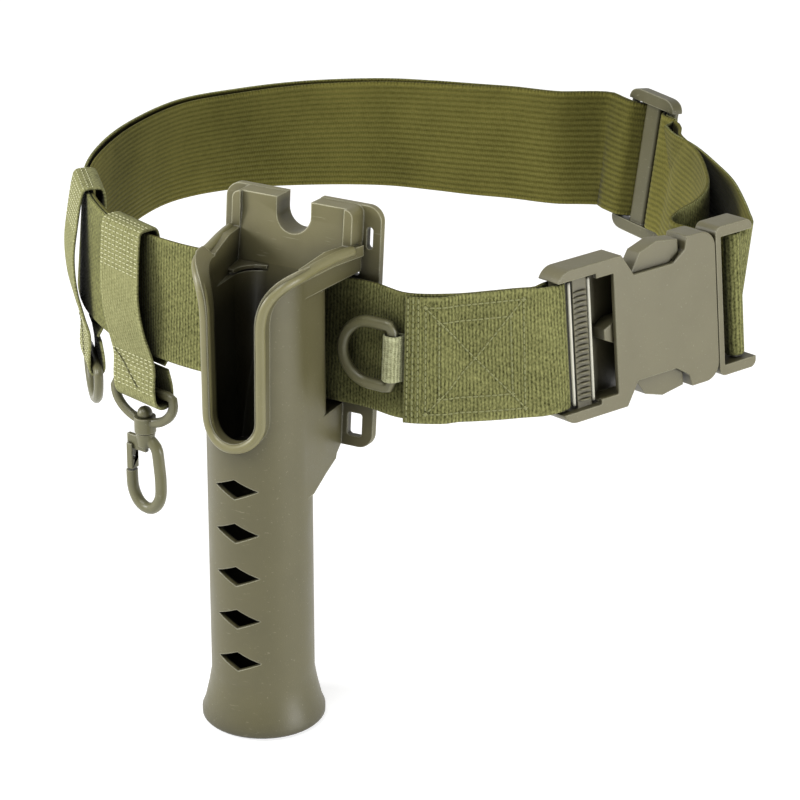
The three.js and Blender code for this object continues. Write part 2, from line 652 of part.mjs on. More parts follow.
// A wire bent to a D: straight bar at one side, round bow at the other
function dRing(barHalf, bow, wire, sides, sections) {
  const bend = Math.min(barHalf, wire * 1.05);
  const path = new THREE.CurvePath();
  const v = (x, z) => new THREE.Vector3(x, 0, z);
  const shoulder = bow - barHalf;
  path.add(new THREE.LineCurve3(v(0, -barHalf + bend), v(0, barHalf - bend)));
  path.add(new THREE.QuadraticBezierCurve3(v(0, barHalf - bend), v(0, barHalf), v(bend, barHalf)));
  path.add(new THREE.LineCurve3(v(bend, barHalf), v(Math.max(shoulder, bend + 0.5), barHalf)));
  const arcStart = Math.max(shoulder, bend + 0.5);
  const points = [];
  const reach = bow - arcStart;
  for (let i = 0; i <= 16; i++) {
    const angle = Math.PI / 2 - Math.PI * i / 16;
    points.push(v(arcStart + reach * Math.cos(angle), barHalf * Math.sin(angle)));
  }
  path.add(new THREE.CatmullRomCurve3(points, false, 'centripetal'));
  path.add(new THREE.LineCurve3(v(arcStart, -barHalf), v(bend, -barHalf)));
  path.add(new THREE.QuadraticBezierCurve3(v(bend, -barHalf), v(0, -barHalf), v(0, -barHalf + bend)));
  const rings = [];
  for (let i = 0; i < sections; i++) {
    const at = path.getPointAt(i / sections);
    const tangent = path.getTangentAt(i / sections);
    const across = new THREE.Vector3(0, 1, 0);
    const outward = tangent.clone().cross(across).normalize();
    rings.push(Array.from({ length: sides }, (_, k) => {
      const angle = Math.PI * 2 * (k + 0.5) / sides;
      return along(at, [outward, wire * Math.cos(angle)], [across, wire * Math.sin(angle)]);
    }));
  }
  return loft(rings, true);
}

// Ring on the strap: its bar stands in a tab that the fold's end traps
const tabRadius = ringWire + clearance + tabThickness / 2;
const ringSeat = foldLength + tabGap;
const ringRise = strapThickness / 2 + clearance + tabRadius + tabThickness / 2;
const ringLoop = loopFrame(ringSeat);
const ringFrame = { ...ringLoop, origin: place(ringLoop, 0, ringRise) };

function tabBand() {
  const stations = [];
  const tuck = foldLength - tabDepth + 2;
  const inner = strapThickness / 2 + clearance + tabThickness / 2;
  const outer = inner + tabThickness + clearance;
  const steps = 4;
  const last = foldLength + 2 * clearance;
  for (let i = 0; i <= steps; i++) stations.push(tuck + (last - tuck) * i / steps);
  const lower = stations.map((d) => station(loopFrame(d), 0, inner));
  const upper = stations.map((d) => station(loopFrame(d), 0, outer)).reverse();
  const reach = Math.hypot(ringSeat - last, ringRise - outer);
  const leave = 180 + degrees(
    Math.atan2(ringRise - outer, ringSeat - last) - Math.acos(tabRadius / reach));
  const bend = [];
  for (let i = 0; i <= 12; i++) {
    const angle = radians(-90 + (90 + leave) * i / 12);
    bend.push(station(ringFrame, tabRadius * Math.cos(angle), tabRadius * Math.sin(angle)));
  }
  return webbing([...lower, ...bend, ...upper], tabWidth, tabThickness);
}

// Hanger loops: over the strap's top edge, sewn at the neck, folded round a bar below
const hangerFrame = ({ turn }) => loopFrame(distanceAtTurn(turn));
const hangerOver = strapWidth / 2 + clearance + hangerThickness / 2 + 0.8;
function hangerBand(hanger) {
  const { origin, run, lean } = hangerFrame(hanger);
  const flat = new THREE.Vector3(-run.y, run.x, 0);
  const inside = -(strapThickness / 2 + clearance + hangerThickness / 2 + hangerEase);
  const outside = strapThickness / 2 + plyStep + clearance + hangerThickness / 2 + 1.2;
  const over = hangerOver;
  const tip = (rise) => -Math.tan(radians(lean)) * THREE.MathUtils.clamp(rise, -over, over);
  const wire = hanger.name === 'a' ? dropWire : eyeWire;
  const bar = wire + clearance + hangerThickness / 2 + hanger.ease;
  const neck = hanger.eye + hangerNeck;
  const path = [
    { out: -bar * 0.4, rise: neck + 0.6 }, { out: inside * 0.97, rise: -strapWidth / 2 - 0.8 },
    { out: inside, rise: -12 }, { out: inside, rise: 8 }, { out: inside, rise: over - 2.5 },
    { out: inside + 0.9, rise: over - 0.5 }, { out: (inside + outside) / 2, rise: over },
    { out: outside - 0.9, rise: over - 0.5 }, { out: outside, rise: over - 2.8 },
    { out: outside + hanger.bow * 0.6, rise: 12 }, { out: outside + hanger.bow, rise: 0 },
    { out: outside + hanger.bow * 0.7, rise: -13 }, { out: outside * 0.9, rise: -24 },
    { out: bar * 0.75, rise: neck + 1 }, { out: bar, rise: hanger.eye + 4 },
  ];
  for (let i = 0; i <= 8; i++) {
    const angle = Math.PI * i / 8;
    path.push({ out: bar * Math.cos(angle), rise: hanger.eye - bar * Math.sin(angle) });
  }
  path.push({ out: -bar, rise: hanger.eye + 4 }, { out: -bar * 0.75, rise: neck - 1.6 });
  const stations = path.map(({ out, rise }) => {
    const shift = -rise * Math.tan(radians(hanger.slant));
    const turned = radians(hanger.twist) * ease(-rise, 0, -neck);
    const across = run.clone().applyAxisAngle(up, turned);
    const outward = flat.clone().applyAxisAngle(up, turned);
    return { at: along(origin, [run, -shift], [outward, out + tip(rise)], [up, rise]), across };
  });
  return webbing(stations, hangerWidth, hangerThickness);
}

// The frame of what hangs from a hanger: X along its bar, Z up, origin on the bar
function dropFrame(hanger) {
  const { origin, run, lean } = hangerFrame(hanger);
  const turned = radians(hanger.twist + hanger.swing);
  const across = run.clone().applyAxisAngle(up, turned);
  const outward = new THREE.Vector3(-run.y, run.x, 0).applyAxisAngle(up, turned);
  const shift = -hanger.eye * Math.tan(radians(hanger.slant));
  const tip = Math.tan(radians(lean)) * hangerOver;
  const bar = along(origin, [run, -shift], [outward, tip], [up, hanger.eye]);
  return { origin: bar, run: across, face: outward, rise: up };
}

// Hook below the second hanger: an eye with a round collar, a hook that swivels in it, a gate
const collarTop = -eyeHeight + 3 * eyeWire + clearance;
const collarHeight = 6.5;
function hookEye() {
  const ring = dRing(eyeWidth / 2 - eyeWire, eyeHeight - 2 * eyeWire, eyeWire, 8, ringSections)
    .rotateY(Math.PI / 2);
  const collar = solid(new THREE.CylinderGeometry(swivelRadius, swivelRadius, collarHeight, 20)
    .rotateX(Math.PI / 2).translate(0, 0, collarTop - collarHeight / 2));
  const pinHole = solid(new THREE.CylinderGeometry(1.9, 1.9, 20, 20).rotateX(Math.PI / 2)
    .translate(0, 0, collarTop));
  return geometryOf(solid(ring).add(collar).subtract(pinHole));
}

function tubeAlong(points, radius, steps, sides = 10) {
  const curve = new THREE.CatmullRomCurve3(points, false, 'centripetal');
  const section = outline(Array.from({ length: sides }, (_, k) => {
    const angle = Math.PI * 2 * k / sides;
    return [radius * Math.cos(angle), radius * Math.sin(angle)];
  }));
  return new THREE.ExtrudeGeometry(section, { steps, extrudePath: curve, bevelEnabled: false });
}

const hookTop = collarTop - collarHeight - clearance;
const hookHalf = hookWidth / 2 - hookWire;
const hookFloor = hookTop - hookLength + hookWire;
const tipShare = 0.55;
const pivotShare = 0.24;
const lugHalf = 0.9;
const gateAt = hookHalf - 0.4;
function hookBody() {
  const z = (share) => hookTop + (hookFloor - hookTop) * share;
  const spine = [
    [-0.15, 0.07], [-0.72, 0.17], [-0.88, 0.36], [-0.98, 0.62], [-0.9, 0.82],
    [-0.5, 0.96], [0, 1.0], [0.55, 0.95], [0.94, 0.8], [1.02, tipShare],
  ].map(([x, share]) => new THREE.Vector3(x * hookHalf, 0, z(share)));
  const base = solid(new THREE.CylinderGeometry(4.1, 3.2, 6, 20).rotateX(Math.PI / 2)
    .translate(0, 0, hookTop - 3));
  const knobBottom = collarTop + clearance;
  const pinHeight = knobBottom - hookTop + 2;
  const pin = solid(new THREE.CylinderGeometry(1.5, 1.5, pinHeight, 16).rotateX(Math.PI / 2)
    .translate(0, 0, hookTop - 1 + pinHeight / 2));
  const knob = solid(new THREE.SphereGeometry(3.1, 14, 8).translate(0, 0, knobBottom + 0.9))
    .intersect(solid(box(-5, -5, knobBottom, 5, 5, knobBottom + 9)));
  const lug = solid(box(-0.6, -lugHalf, z(pivotShare) - 0.7, hookHalf + 1.4, lugHalf, z(0.08)));
  return geometryOf(solid(tubeAlong(spine, hookWire, 32)).add(base).add(pin).add(knob).add(lug));
}

function hookGate() {
  const z = (share) => hookTop + (hookFloor - hookTop) * share;
  const foot = z(tipShare) - z(pivotShare) + 3 * clearance;
  const blade = solid(box(-1.5, -2.1, foot, 1.5, 2.1, 1.7));
  const slit = solid(box(-3, -lugHalf - clearance, -5.2, 3, lugHalf + clearance, 4));
  return geometryOf(blade.subtract(slit)).translate(gateAt, 0, z(pivotShare));
}

// Materials, one for each mesh
const finishes = {
  strap: { color: 0x6c7043, roughness: 0.95 },
  hanger: { color: 0x8c8f66, roughness: 0.95 },
  moulded: { color: 0x8b8770, roughness: 0.5 },
  hardware: { color: 0x85836a, roughness: 0.45 },
};

const group = new THREE.Group();
function addPiece(name, geometry, finish, frame, mirrored) {
  const placed = frame ? stand(geometry, frame, mirrored) : geometry;
  const material = new THREE.MeshStandardMaterial({ ...finishes[finish], metalness: 0 });
  const mesh = new THREE.Mesh(placed, material);
  mesh.name = name;
  group.add(mesh);
}

addPiece('belt_strap', strapGeometry, 'strap');
addPiece('rod_holder', rodHolder(), 'moulded');
addPiece('buckle_socket', buckleSocket(), 'moulded', buckle, true);
addPiece('buckle_plug', bucklePlug(), 'moulded', buckle, true);
addPiece('slider', sliderBody(), 'moulded', slider);
const ringBow = dRing(ringHeight / 2 - ringWire, ringLength - 2 * ringWire, ringWire, 8, ringSections);
addPiece('belt_ring', ringBow, 'hardware', ringFrame);
addPiece('ring_tab', tabBand(), 'hanger');
for (const hanger of hangers) addPiece(`hanger_${hanger.name}`, hangerBand(hanger), 'hanger');
const ringDrop = dropFrame(hangers[0]);
const hookDrop = dropFrame(hangers[1]);
const dropBow = dRing(dropWidth / 2 - dropWire, dropHeight - 2 * dropWire, dropWire, 8, ringSections);
addPiece('drop_ring', dropBow.rotateY(Math.PI / 2), 'hardware', ringDrop);
addPiece('hook_eye', hookEye(), 'hardware', hookDrop);
addPiece('hook_body', hookBody(), 'hardware', hookDrop);
addPiece('hook_gate', hookGate(), 'hardware', hookDrop);

export default group;
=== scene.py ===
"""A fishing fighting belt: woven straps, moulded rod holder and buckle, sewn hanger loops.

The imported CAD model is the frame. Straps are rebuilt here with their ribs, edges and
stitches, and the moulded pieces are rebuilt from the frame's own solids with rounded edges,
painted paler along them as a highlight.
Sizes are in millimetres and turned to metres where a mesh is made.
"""

import math

import bmesh
import bpy
from mathutils import Matrix, Vector


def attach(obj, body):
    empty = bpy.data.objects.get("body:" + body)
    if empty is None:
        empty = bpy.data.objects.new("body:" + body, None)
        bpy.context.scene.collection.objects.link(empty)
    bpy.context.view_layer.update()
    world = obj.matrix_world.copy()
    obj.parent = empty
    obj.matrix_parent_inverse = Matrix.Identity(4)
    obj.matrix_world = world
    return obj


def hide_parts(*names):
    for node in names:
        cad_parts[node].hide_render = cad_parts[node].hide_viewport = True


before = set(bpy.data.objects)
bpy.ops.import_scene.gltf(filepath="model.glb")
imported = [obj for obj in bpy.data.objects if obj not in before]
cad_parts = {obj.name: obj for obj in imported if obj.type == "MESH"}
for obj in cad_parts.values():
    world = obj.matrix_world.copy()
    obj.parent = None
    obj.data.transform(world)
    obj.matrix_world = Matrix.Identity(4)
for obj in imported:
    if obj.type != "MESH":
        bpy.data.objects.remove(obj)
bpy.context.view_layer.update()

MM = 0.001
UP = Vector((0, 0, 1))

# Strap and its loop
STRAP_WIDTH = 50
STRAP_THICKNESS = 1.5
CLEARANCE = 0.3
LOOP_RADIUS = 125
FRONT_REACH = 0.884
FOLD_LENGTH = 59.5
TAIL_STAND_OFF = 1.6
TAIL_PARTING = (60, 120)
PLY_STEP = STRAP_THICKNESS + CLEARANCE
RIB_PITCH = 2.4
RIB_HEIGHT = 0.18

# Buckle and slider, where the strap turns round their bars
BUCKLE_AT = {"x": 0.7656 * LOOP_RADIUS, "y": -0.6336 * LOOP_RADIUS, "heading": 64, "lean": 6}
FOLD_BAR_RADIUS = 2.2
END_BAR_AT = 88
END_BAR_RADIUS = 2.2
SLIDER_AT = {"x": 0.3768 * LOOP_RADIUS, "y": 0.9368 * LOOP_RADIUS, "heading": -27, "lean": -9}
SLIDER_REACH = 12.4
SLIDER_SIDE_BAR = 1.8
SLIDER_MIDDLE_RADIUS = 1.4
SLIDER_MIDDLE_HALF = 3.2

# Sewn ring, hanger loops and their hardware
RING_WIRE = 2.3
TAB_WIDTH = 18.4
TAB_GAP = 4
TAB_THICKNESS = 0.9
TAB_DEPTH = 13
HANGER_WIDTH = 24.4
HANGER_THICKNESS = 1.2
HANGER_EASE = 2.9
HANGER_NECK = 12
HANGER_BAR = 2
# How far a line of sewing lies above the band's skin
SKIN = 0.06

# Rod holder, measured from its tube's axis; slope is its lean away from the waist
HOLDER = {
    "forward": FRONT_REACH * LOOP_RADIUS + 28.5, "top": 41.5, "slope": 0.1, "cut_half": 9.6,
    "cut_bottom": -29.2, "flare": 0.16, "tube": 20, "bore": 17.6, "lip_width": 3.4,
    "lip_proud": 2.8, "channel": 25.0, "corner": 9.6, "half_strap": STRAP_WIDTH / 2 + 1.6,
    "cup_floor": -43.5, "cup_depth": 23.5,
}


def clamp(x, low, high):
    return max(low, min(high, x))


def ease(x, low, high):
    t = clamp((x - low) / (high - low), 0, 1)
    return t * t * (3 - 2 * t)


def along(origin, *steps):
    point = origin.copy()
    for direction, distance in steps:
        point += direction * distance
    return point


# Paths: smooth curves through points, measured along their length


class SmoothPath:
    """A centripetal Catmull-Rom curve with evenly measured length."""

    def __init__(self, points, divisions=200):
        self.points = points
        self.divisions = divisions
        self.lengths = [0.0]
        last = self.point(0)
        for i in range(1, divisions + 1):
            here = self.point(i / divisions)
            self.lengths.append(self.lengths[-1] + (here - last).length)
            last = here
        self.length = self.lengths[-1]

    def point(self, t):
        pts = self.points
        spans = len(pts) - 1
        p = clamp(t, 0, 1) * spans
        i = min(int(p), spans - 1)
        w = p - i
        p0 = pts[i - 1] if i > 0 else 2 * pts[0] - pts[1]
        p1, p2 = pts[i], pts[i + 1]
        p3 = pts[i + 2] if i + 2 <= spans else 2 * pts[-1] - pts[-2]
        d0, d1, d2 = (max((b - a).length, 1e-8) ** 0.5
                      for a, b in ((p0, p1), (p1, p2), (p2, p3)))
        t1 = ((p1 - p0) / d0 - (p2 - p0) / (d0 + d1) + (p2 - p1) / d1) * d1
        t2 = ((p2 - p1) / d1 - (p3 - p1) / (d1 + d2) + (p3 - p2) / d2) * d1
        c2 = -3 * p1 + 3 * p2 - 2 * t1 - t2
        c3 = 2 * p1 - 2 * p2 + t1 + t2
        return p1 + t1 * w + c2 * w * w + c3 * w * w * w

    def share(self, u):
        target = clamp(u, 0, 1) * self.length
        low, high = 0, self.divisions
        while high - low > 1:
            middle = (low + high) // 2
            if self.lengths[middle] <= target:
                low = middle
            else:
                high = middle
        span = self.lengths[high] - self.lengths[low]
        return (low + (target - self.lengths[low]) / span) / self.divisions

    def at(self, u):
        return self.point(self.share(u))

    def tangent(self, u):
        t = self.share(u)
        a, b = max(t - 1e-4, 0), min(t + 1e-4, 1)
        return (self.point(b) - self.point(a)).normalized()


class Stand:
    """A place on the loop: origin, run along the strap, face outwards, rise up its height."""

    def __init__(self, x, y, heading, lean, outward=1):
        turn, tip = math.radians(heading), math.radians(lean)
        self.origin = Vector((x, y, 0))
        self.run = Vector((math.cos(turn), math.sin(turn), 0))
        self.flat = Vector((-self.run.y, self.run.x, 0)) * outward
        self.rise = UP * math.cos(tip) - self.flat * math.sin(tip)
        self.face = self.flat * math.cos(tip) + UP * math.sin(tip)
        self.lean = lean

    def place(self, run, face, rise=0):
        return along(self.origin, (self.run, run), (self.face, face), (self.rise, rise))


buckle = Stand(**BUCKLE_AT, outward=-1)
slider = Stand(**SLIDER_AT)

# The strap's middle line seen from above: turn from the front, reach as a share of the loop
# radius, and the lean in degrees that tips its top edge inwards
LOOP = [
    (43.0, 1.003, 9), (38.4, 1.002, 8), (31.5, 1.003, 5), (23.1, 0.990, 4), (16.0, 0.918, 5),
    (0.0, FRONT_REACH, 5.5), (-16.0, 0.918, 5), (-26.9, 0.970, 3), (-38.0, 1.021, 1),
    (-46.0, 1.047, 1), (-57.0, 1.081, 3), (-68.5, 1.105, 5), (-80.0, 1.112, 7),
    (-92.0, 1.128, 10), (-105.7, 1.146, 14), (-117.0, 1.101, 14.5), (-129.7, 1.039, 10),
    (-145.0, 0.978, 6), (-155.1, 0.936, 2.5), (-163.7, 0.918, -1), (-172.3, 0.925, -3),
    (-183.0, 0.947, -4),
]
INNER_BULGE = [
    (143.5, 0.930, -6), (133.0, 0.922, -3), (123.0, 0.916, 0), (113.0, 0.914, 2),
    (104.0, 0.896, 4), (97.0, 0.868, 6), (91.5, 0.872, 6),
]
OUTER_RETURN = [
    (95.5, 1.072, 6), (100.0, 1.046, 5), (107.0, 1.014, 3), (116.0, 0.990, 0),
    (125.0, 0.966, -2), (136.0, 0.960, -5), (144.5, 0.958, -7),
]


def path_point(row):
    turn, reach, lean = row
    turn = math.radians(turn)
    return Vector((math.sin(turn) * reach * LOOP_RADIUS,
                   -math.cos(turn) * reach * LOOP_RADIUS, lean))


def with_lean(stand, lean, run, out):
    point = stand.place(run, out)
    point.z = lean
    return point


SLIDER_ENTRY = SLIDER_REACH + 5
# The third coordinate of these paths carries the lean
loop = SmoothPath([
    with_lean(buckle, buckle.lean, 0, 0),
    with_lean(buckle, buckle.lean + 2, -8, 0),
    *[path_point(row) for row in LOOP],
    with_lean(slider, slider.lean + 2, -SLIDER_ENTRY - 8, 0),
    with_lean(slider, slider.lean, -SLIDER_ENTRY - 1, 0),
], 600)


def stand_on(path, u):
    point, tangent = path.at(u), path.tangent(u)
    return Stand(point.x, point.y, math.degrees(math.atan2(tangent.y, tangent.x)), point.z)


def loop_stand(distance):
    return stand_on(loop, distance / loop.length)


def distance_at_turn(turn):
    best, error = 0, math.inf
    for i in range(int(loop.length * 4)):
        point = loop.at(i / 4 / loop.length)
        gap = abs(math.atan2(point.x, -point.y) - math.radians(turn))
        if gap < error:
            best, error = i / 4, gap
    return best


# Webbing


def station(stand, run, out, ribbed=0):
    """A place along a band: its middle, its across direction and which side is the waist side."""
    return {"at": stand.place(run, out), "across": stand.rise, "ribbed": ribbed}


def arc(stand, centre, radius, start, end, steps, ribbed=0):
    found = []
    for i in range(steps + 1):
        angle = math.radians(start + (end - start) * i / steps)
        found.append(station(stand, centre + radius * math.cos(angle),
                             radius * math.sin(angle), ribbed))
    return found


def stretch(start, end, offset, pitch, ribbed):
    steps = max(2, round(abs(end - start) / pitch))
    found = []
    for i in range(steps + 1):
        distance = start + (end - start) * i / steps
        found.append(station(loop_stand(distance), 0, offset(distance), ribbed))
    return found


def free_ply(points, steps, ribbed):
    path = SmoothPath(points)
    return [station(stand_on(path, i / steps), 0, 0, ribbed) for i in range(1, steps)]


FOLD_RADIUS = FOLD_BAR_RADIUS + CLEARANCE + STRAP_THICKNESS / 2
END_WRAP = END_BAR_RADIUS + CLEARANCE + STRAP_THICKNESS / 2
TAB_LIFT = 2 * (TAB_THICKNESS + CLEARANCE)
FOLD_SPREAD = 14


def side_depth(ply):
    return SLIDER_SIDE_BAR + CLEARANCE + STRAP_THICKNESS / 2 + (1 - ply) * PLY_STEP


def weave(ply, ribbed):
    """Round the slider's bars: ply 0 lies against the middle bar, ply 1 outside it."""
    side = side_depth(ply)
    middle = SLIDER_MIDDLE_RADIUS + CLEARANCE + STRAP_THICKNESS / 2 + ply * PLY_STEP
    slope = math.degrees(math.asin((side + middle) / (SLIDER_REACH - SLIDER_MIDDLE_HALF)))
    return [
        station(slider, -SLIDER_ENTRY, -side, ribbed),
        *arc(slider, -SLIDER_REACH, side, -90, -90 + slope, 5, ribbed),
        *arc(slider, -SLIDER_MIDDLE_HALF, middle, 90 + slope, 90, 5, ribbed),
        *arc(slider, SLIDER_MIDDLE_HALF, middle, 90, 90 - slope, 5, ribbed),
        *arc(slider, SLIDER_REACH, side, -90 - slope, -90, 5, ribbed),
        station(slider, SLIDER_ENTRY, -side, ribbed),
    ]


def fold_under(d):
    return -FOLD_RADIUS * (1 - ease(d, 0, FOLD_SPREAD))


def fold_over(d):
    return (PLY_STEP + (FOLD_RADIUS - PLY_STEP) * (1 - ease(d, 0, FOLD_SPREAD))
            + TAB_LIFT * ease(d, FOLD_LENGTH - TAB_DEPTH - 7, FOLD_LENGTH - TAB_DEPTH))


def main_offset(d):
    return fold_under(d) - side_depth(0) * ease(d, loop.length - 26, loop.length)


HANGERS = {
    "a": {"turn": -58, "slant": 12, "bow": 3.5, "twist": 0, "eye": -44.5, "ease": 0},
    "b": {"turn": -36.5, "slant": 6, "bow": 3, "twist": 4, "eye": -41.5, "ease": 1.7},
}
TAIL_END = distance_at_turn(HANGERS["b"]["turn"]) - 4


def tail_offset(d):
    parting = ease(d, TAIL_END + TAIL_PARTING[0], TAIL_END + TAIL_PARTING[1])
    return (PLY_STEP + TAIL_STAND_OFF * parting
            * (1 - ease(d, loop.length - 90, loop.length - 40))
            - (PLY_STEP + side_depth(1)) * ease(d, loop.length - 26, loop.length))


inner_ply = free_ply([
    with_lean(slider, slider.lean, SLIDER_ENTRY, -side_depth(0)),
    with_lean(slider, slider.lean, SLIDER_ENTRY + 3, -side_depth(0) - 0.1),
    *[path_point(row) for row in INNER_BULGE],
    with_lean(buckle, buckle.lean, END_BAR_AT - 7, -16),
    with_lean(buckle, buckle.lean, END_BAR_AT - END_WRAP - 0.6, -5),
    with_lean(buckle, buckle.lean, END_BAR_AT - END_WRAP, 0),
], 50, 1)
outer_ply = free_ply([
    with_lean(buckle, buckle.lean, END_BAR_AT + END_WRAP, 0),
    with_lean(buckle, buckle.lean, END_BAR_AT + END_WRAP + 1, -4),
    *[path_point(row) for row in OUTER_RETURN],
    with_lean(slider, slider.lean, SLIDER_ENTRY + 3, -side_depth(1) - 0.1),
    with_lean(slider, slider.lean, SLIDER_ENTRY, -side_depth(1)),
], 46, -1)
# From the sewn fold round the waist to the free tail; ribbed is +1 where the band's upper
# side faces the waist and -1 where its lower side does
STRAP_RUN = [
    *stretch(FOLD_LENGTH, 2, fold_over, 2.4, -1),
    *arc(buckle, 0, FOLD_RADIUS, 90, -90, 14),
    *stretch(2, loop.length, main_offset, 3.2, 1),
    *weave(0, 1),
    *inner_ply,
    *arc(buckle, END_BAR_AT, END_WRAP, 180, 0, 14),
    *outer_ply,
    *weave(1, -1)[::-1],
    *stretch(loop.length, TAIL_END, tail_offset, 3.2, -1),
]


def band_frames(stations):
    """Each station with its face direction, its mitre and its distance along the band."""
    found = []
    travelled = 0.0
    for i, here in enumerate(stations):
        before = stations[max(i - 1, 0)]["at"]
        after = stations[min(i + 1, len(stations) - 1)]["at"]
        travelled += (here["at"] - before).length
        arriving, leaving = here["at"] - before, after - here["at"]
        if arriving.length < 1e-6:
            arriving = leaving
        if leaving.length < 1e-6:
            leaving = arriving
        arriving, leaving = arriving.normalized(), leaving.normalized()
        direction = (arriving + leaving).normalized()
        found.append({
            **here,
            "direction": direction,
            "face": direction.cross(here["across"]).normalized(),
            "mitre": 1 / max(0.6, direction.dot(arriving)),
            "distance": travelled,
        })
    return found


def side_profile(width, half, rib_pitch, rib_height, edge):
    """Points (across, height above the middle, rib share) of one side, edge to edge."""
    ribs = max(1, round((width - 2 * edge) / rib_pitch))
    pitch = (width - 2 * edge) / ribs
    points = [(-width / 2 + 0.12, half * 0.62, 0), (-width / 2 + edge * 0.45, half * 0.96, 0)]
    for i in range(ribs):
        left = -width / 2 + edge + i * pitch
        points += [(left, half, rib_height), (left + pitch * 0.25, half, 0),
                   (left + pitch * 0.75, half, 0)]
    points += [(width / 2 - edge, half, rib_height), (width / 2 - edge * 0.45, half * 0.96, 0),
               (width / 2 - 0.12, half * 0.62, 0)]
    return points


def woven_band(name, stations, width, thickness, materials, rib_pitch=RIB_PITCH,
               rib_height=RIB_HEIGHT, edge=1.6):
    """A band with sewn edges and lengthwise ribs on its waist side, and a measured UV map."""
    rows = band_frames(stations)
    side = side_profile(width, thickness / 2, rib_pitch, rib_height, edge)
    verts, distances, across_of = [], [], []
    for row in rows:
        ring = []
        for sign in (1, -1):
            strength = clamp(row["ribbed"] * sign, 0, 1)
            for across, height, rib in (side if sign == 1 else side[::-1]):
                out = sign * (height - rib * strength) * row["mitre"]
                ring.append(along(row["at"], (row["across"], across), (row["face"], out)))
                if row is rows[0]:
                    across_of.append(across)
        verts += ring
        distances.append(row["distance"])
    count = len(across_of)
    mesh = bpy.data.meshes.new(name)
    faces, slots = [], []
    for i in range(len(rows) - 1):
        ribbed = rows[i]["ribbed"] + rows[i + 1]["ribbed"]
        for j in range(count):
            k = (j + 1) % count
            faces.append((i * count + j, i * count + k, (i + 1) * count + k, (i + 1) * count + j))
            upper = j < count // 2
            slots.append(0 if (ribbed > 0) == upper and ribbed != 0 else 1)
    faces += [tuple(range(count))[::-1], tuple((len(rows) - 1) * count + j for j in range(count))]
    slots += [1, 1]
    mesh.from_pydata([v * MM for v in verts], [], faces)
    piece = linked(name, mesh)
    for material in materials:
        mesh.materials.append(material)
    mesh.polygons.foreach_set("material_index", slots)
    mesh.polygons.foreach_set("use_smooth", [True] * len(faces))
    uv = mesh.uv_layers.new(name="weave")
    for loop_index, corner in enumerate(mesh.loops):
        i, j = divmod(corner.vertex_index, count)
        uv.data[loop_index].uv = (distances[i] * MM, (across_of[j] + width / 2) * MM)
    mesh.update()
    turn_outwards(mesh)
    return piece


def linked(name, data):
    """A mesh, a lamp or a camera as an object in the scene."""
    piece = bpy.data.objects.new(name, data)
    bpy.context.collection.objects.link(piece)
    return piece


def turn_outwards(mesh):
    """Faces point out of the solid: they are turned round where its volume is negative."""
    work = bmesh.new()
    work.from_mesh(mesh)
    if work.calc_volume(signed=True) < 0:
        bmesh.ops.reverse_faces(work, faces=work.faces)
    work.to_mesh(mesh)
    work.free()


# Materials, and short names for the nodes and settings that come back again and again

MATH, NOISE, RANGE = "ShaderNodeMath", "ShaderNodeTexNoise", "ShaderNodeMapRange"
MIX, MAPPING, VECTORS = "ShaderNodeMix", "ShaderNodeMapping", "ShaderNodeVectorMath"
PLUS, MINUS, TIMES, TIMES_PLUS, LARGER, POWER, SCALED = (
    {"operation": name} for name in ("ADD", "SUBTRACT", "MULTIPLY", "MULTIPLY_ADD", "MAXIMUM",
                                     "POWER", "SCALE"))
SMOOTH = {"interpolation_type": "SMOOTHSTEP"}
PAINTS = {"data_type": "RGBA"}


def paint(hexed):
    """A linear colour from an sRGB hex value."""
    parts = [int(hexed[i:i + 2], 16) / 255 for i in (1, 3, 5)]
    return (*(c / 12.92 if c <= 0.04045 else ((c + 0.055) / 1.055) ** 2.4 for c in parts), 1)


def add(tree, kind, settings=None, inputs=(), output=0):
    """An output of a new node with these settings; its inputs are values or linked sockets."""
    node = tree.nodes.new(kind)
    for name, value in (settings or {}).items():
        setattr(node, name, value)
    for name, value in inputs.items() if isinstance(inputs, dict) else enumerate(inputs):
        if isinstance(value, bpy.types.NodeSocket):
            tree.links.new(value, node.inputs[name])
        else:
            node.inputs[name].default_value = value
    return node.outputs[output] if len(node.outputs) else None


def new_material(name, **sockets):
    """A material with its tree and shader; an underscore stands for a space in a socket."""
    material = bpy.data.materials.new(name)
    material.use_nodes = True
    tree = material.node_tree
    shader = tree.nodes["Principled BSDF"]
    for key, value in sockets.items():
        shader.inputs[key.replace("_", " ")].default_value = value
    return material, tree, shader


def with_painted_shade(tree, colour, reach_mm=16, floor=0.1):
    """A colour with painted shade: it darkens in recesses, where shadow gathers."""
    open_share = add(tree, "ShaderNodeAmbientOcclusion", {"samples": 8},
                     {"Distance": reach_mm * MM}, "AO")
    kept = add(tree, MATH, LARGER, (add(tree, MATH, POWER, (open_share, 1.1)), floor))
    return add(tree, VECTORS, SCALED, {0: colour, "Scale": kept})


def wave(tree, axis, pitch_mm, phase=0.0):
    """A smooth 0 to 1 wave of the given pitch along one axis of the weave map."""
    turn = add(tree, MATH, TIMES_PLUS, (axis, 2 * math.pi / (pitch_mm * MM), phase))
    swing = add(tree, MATH, {"operation": "SINE"}, (turn,))
    return add(tree, MATH, TIMES_PLUS, (swing, 0.5, 0.5))


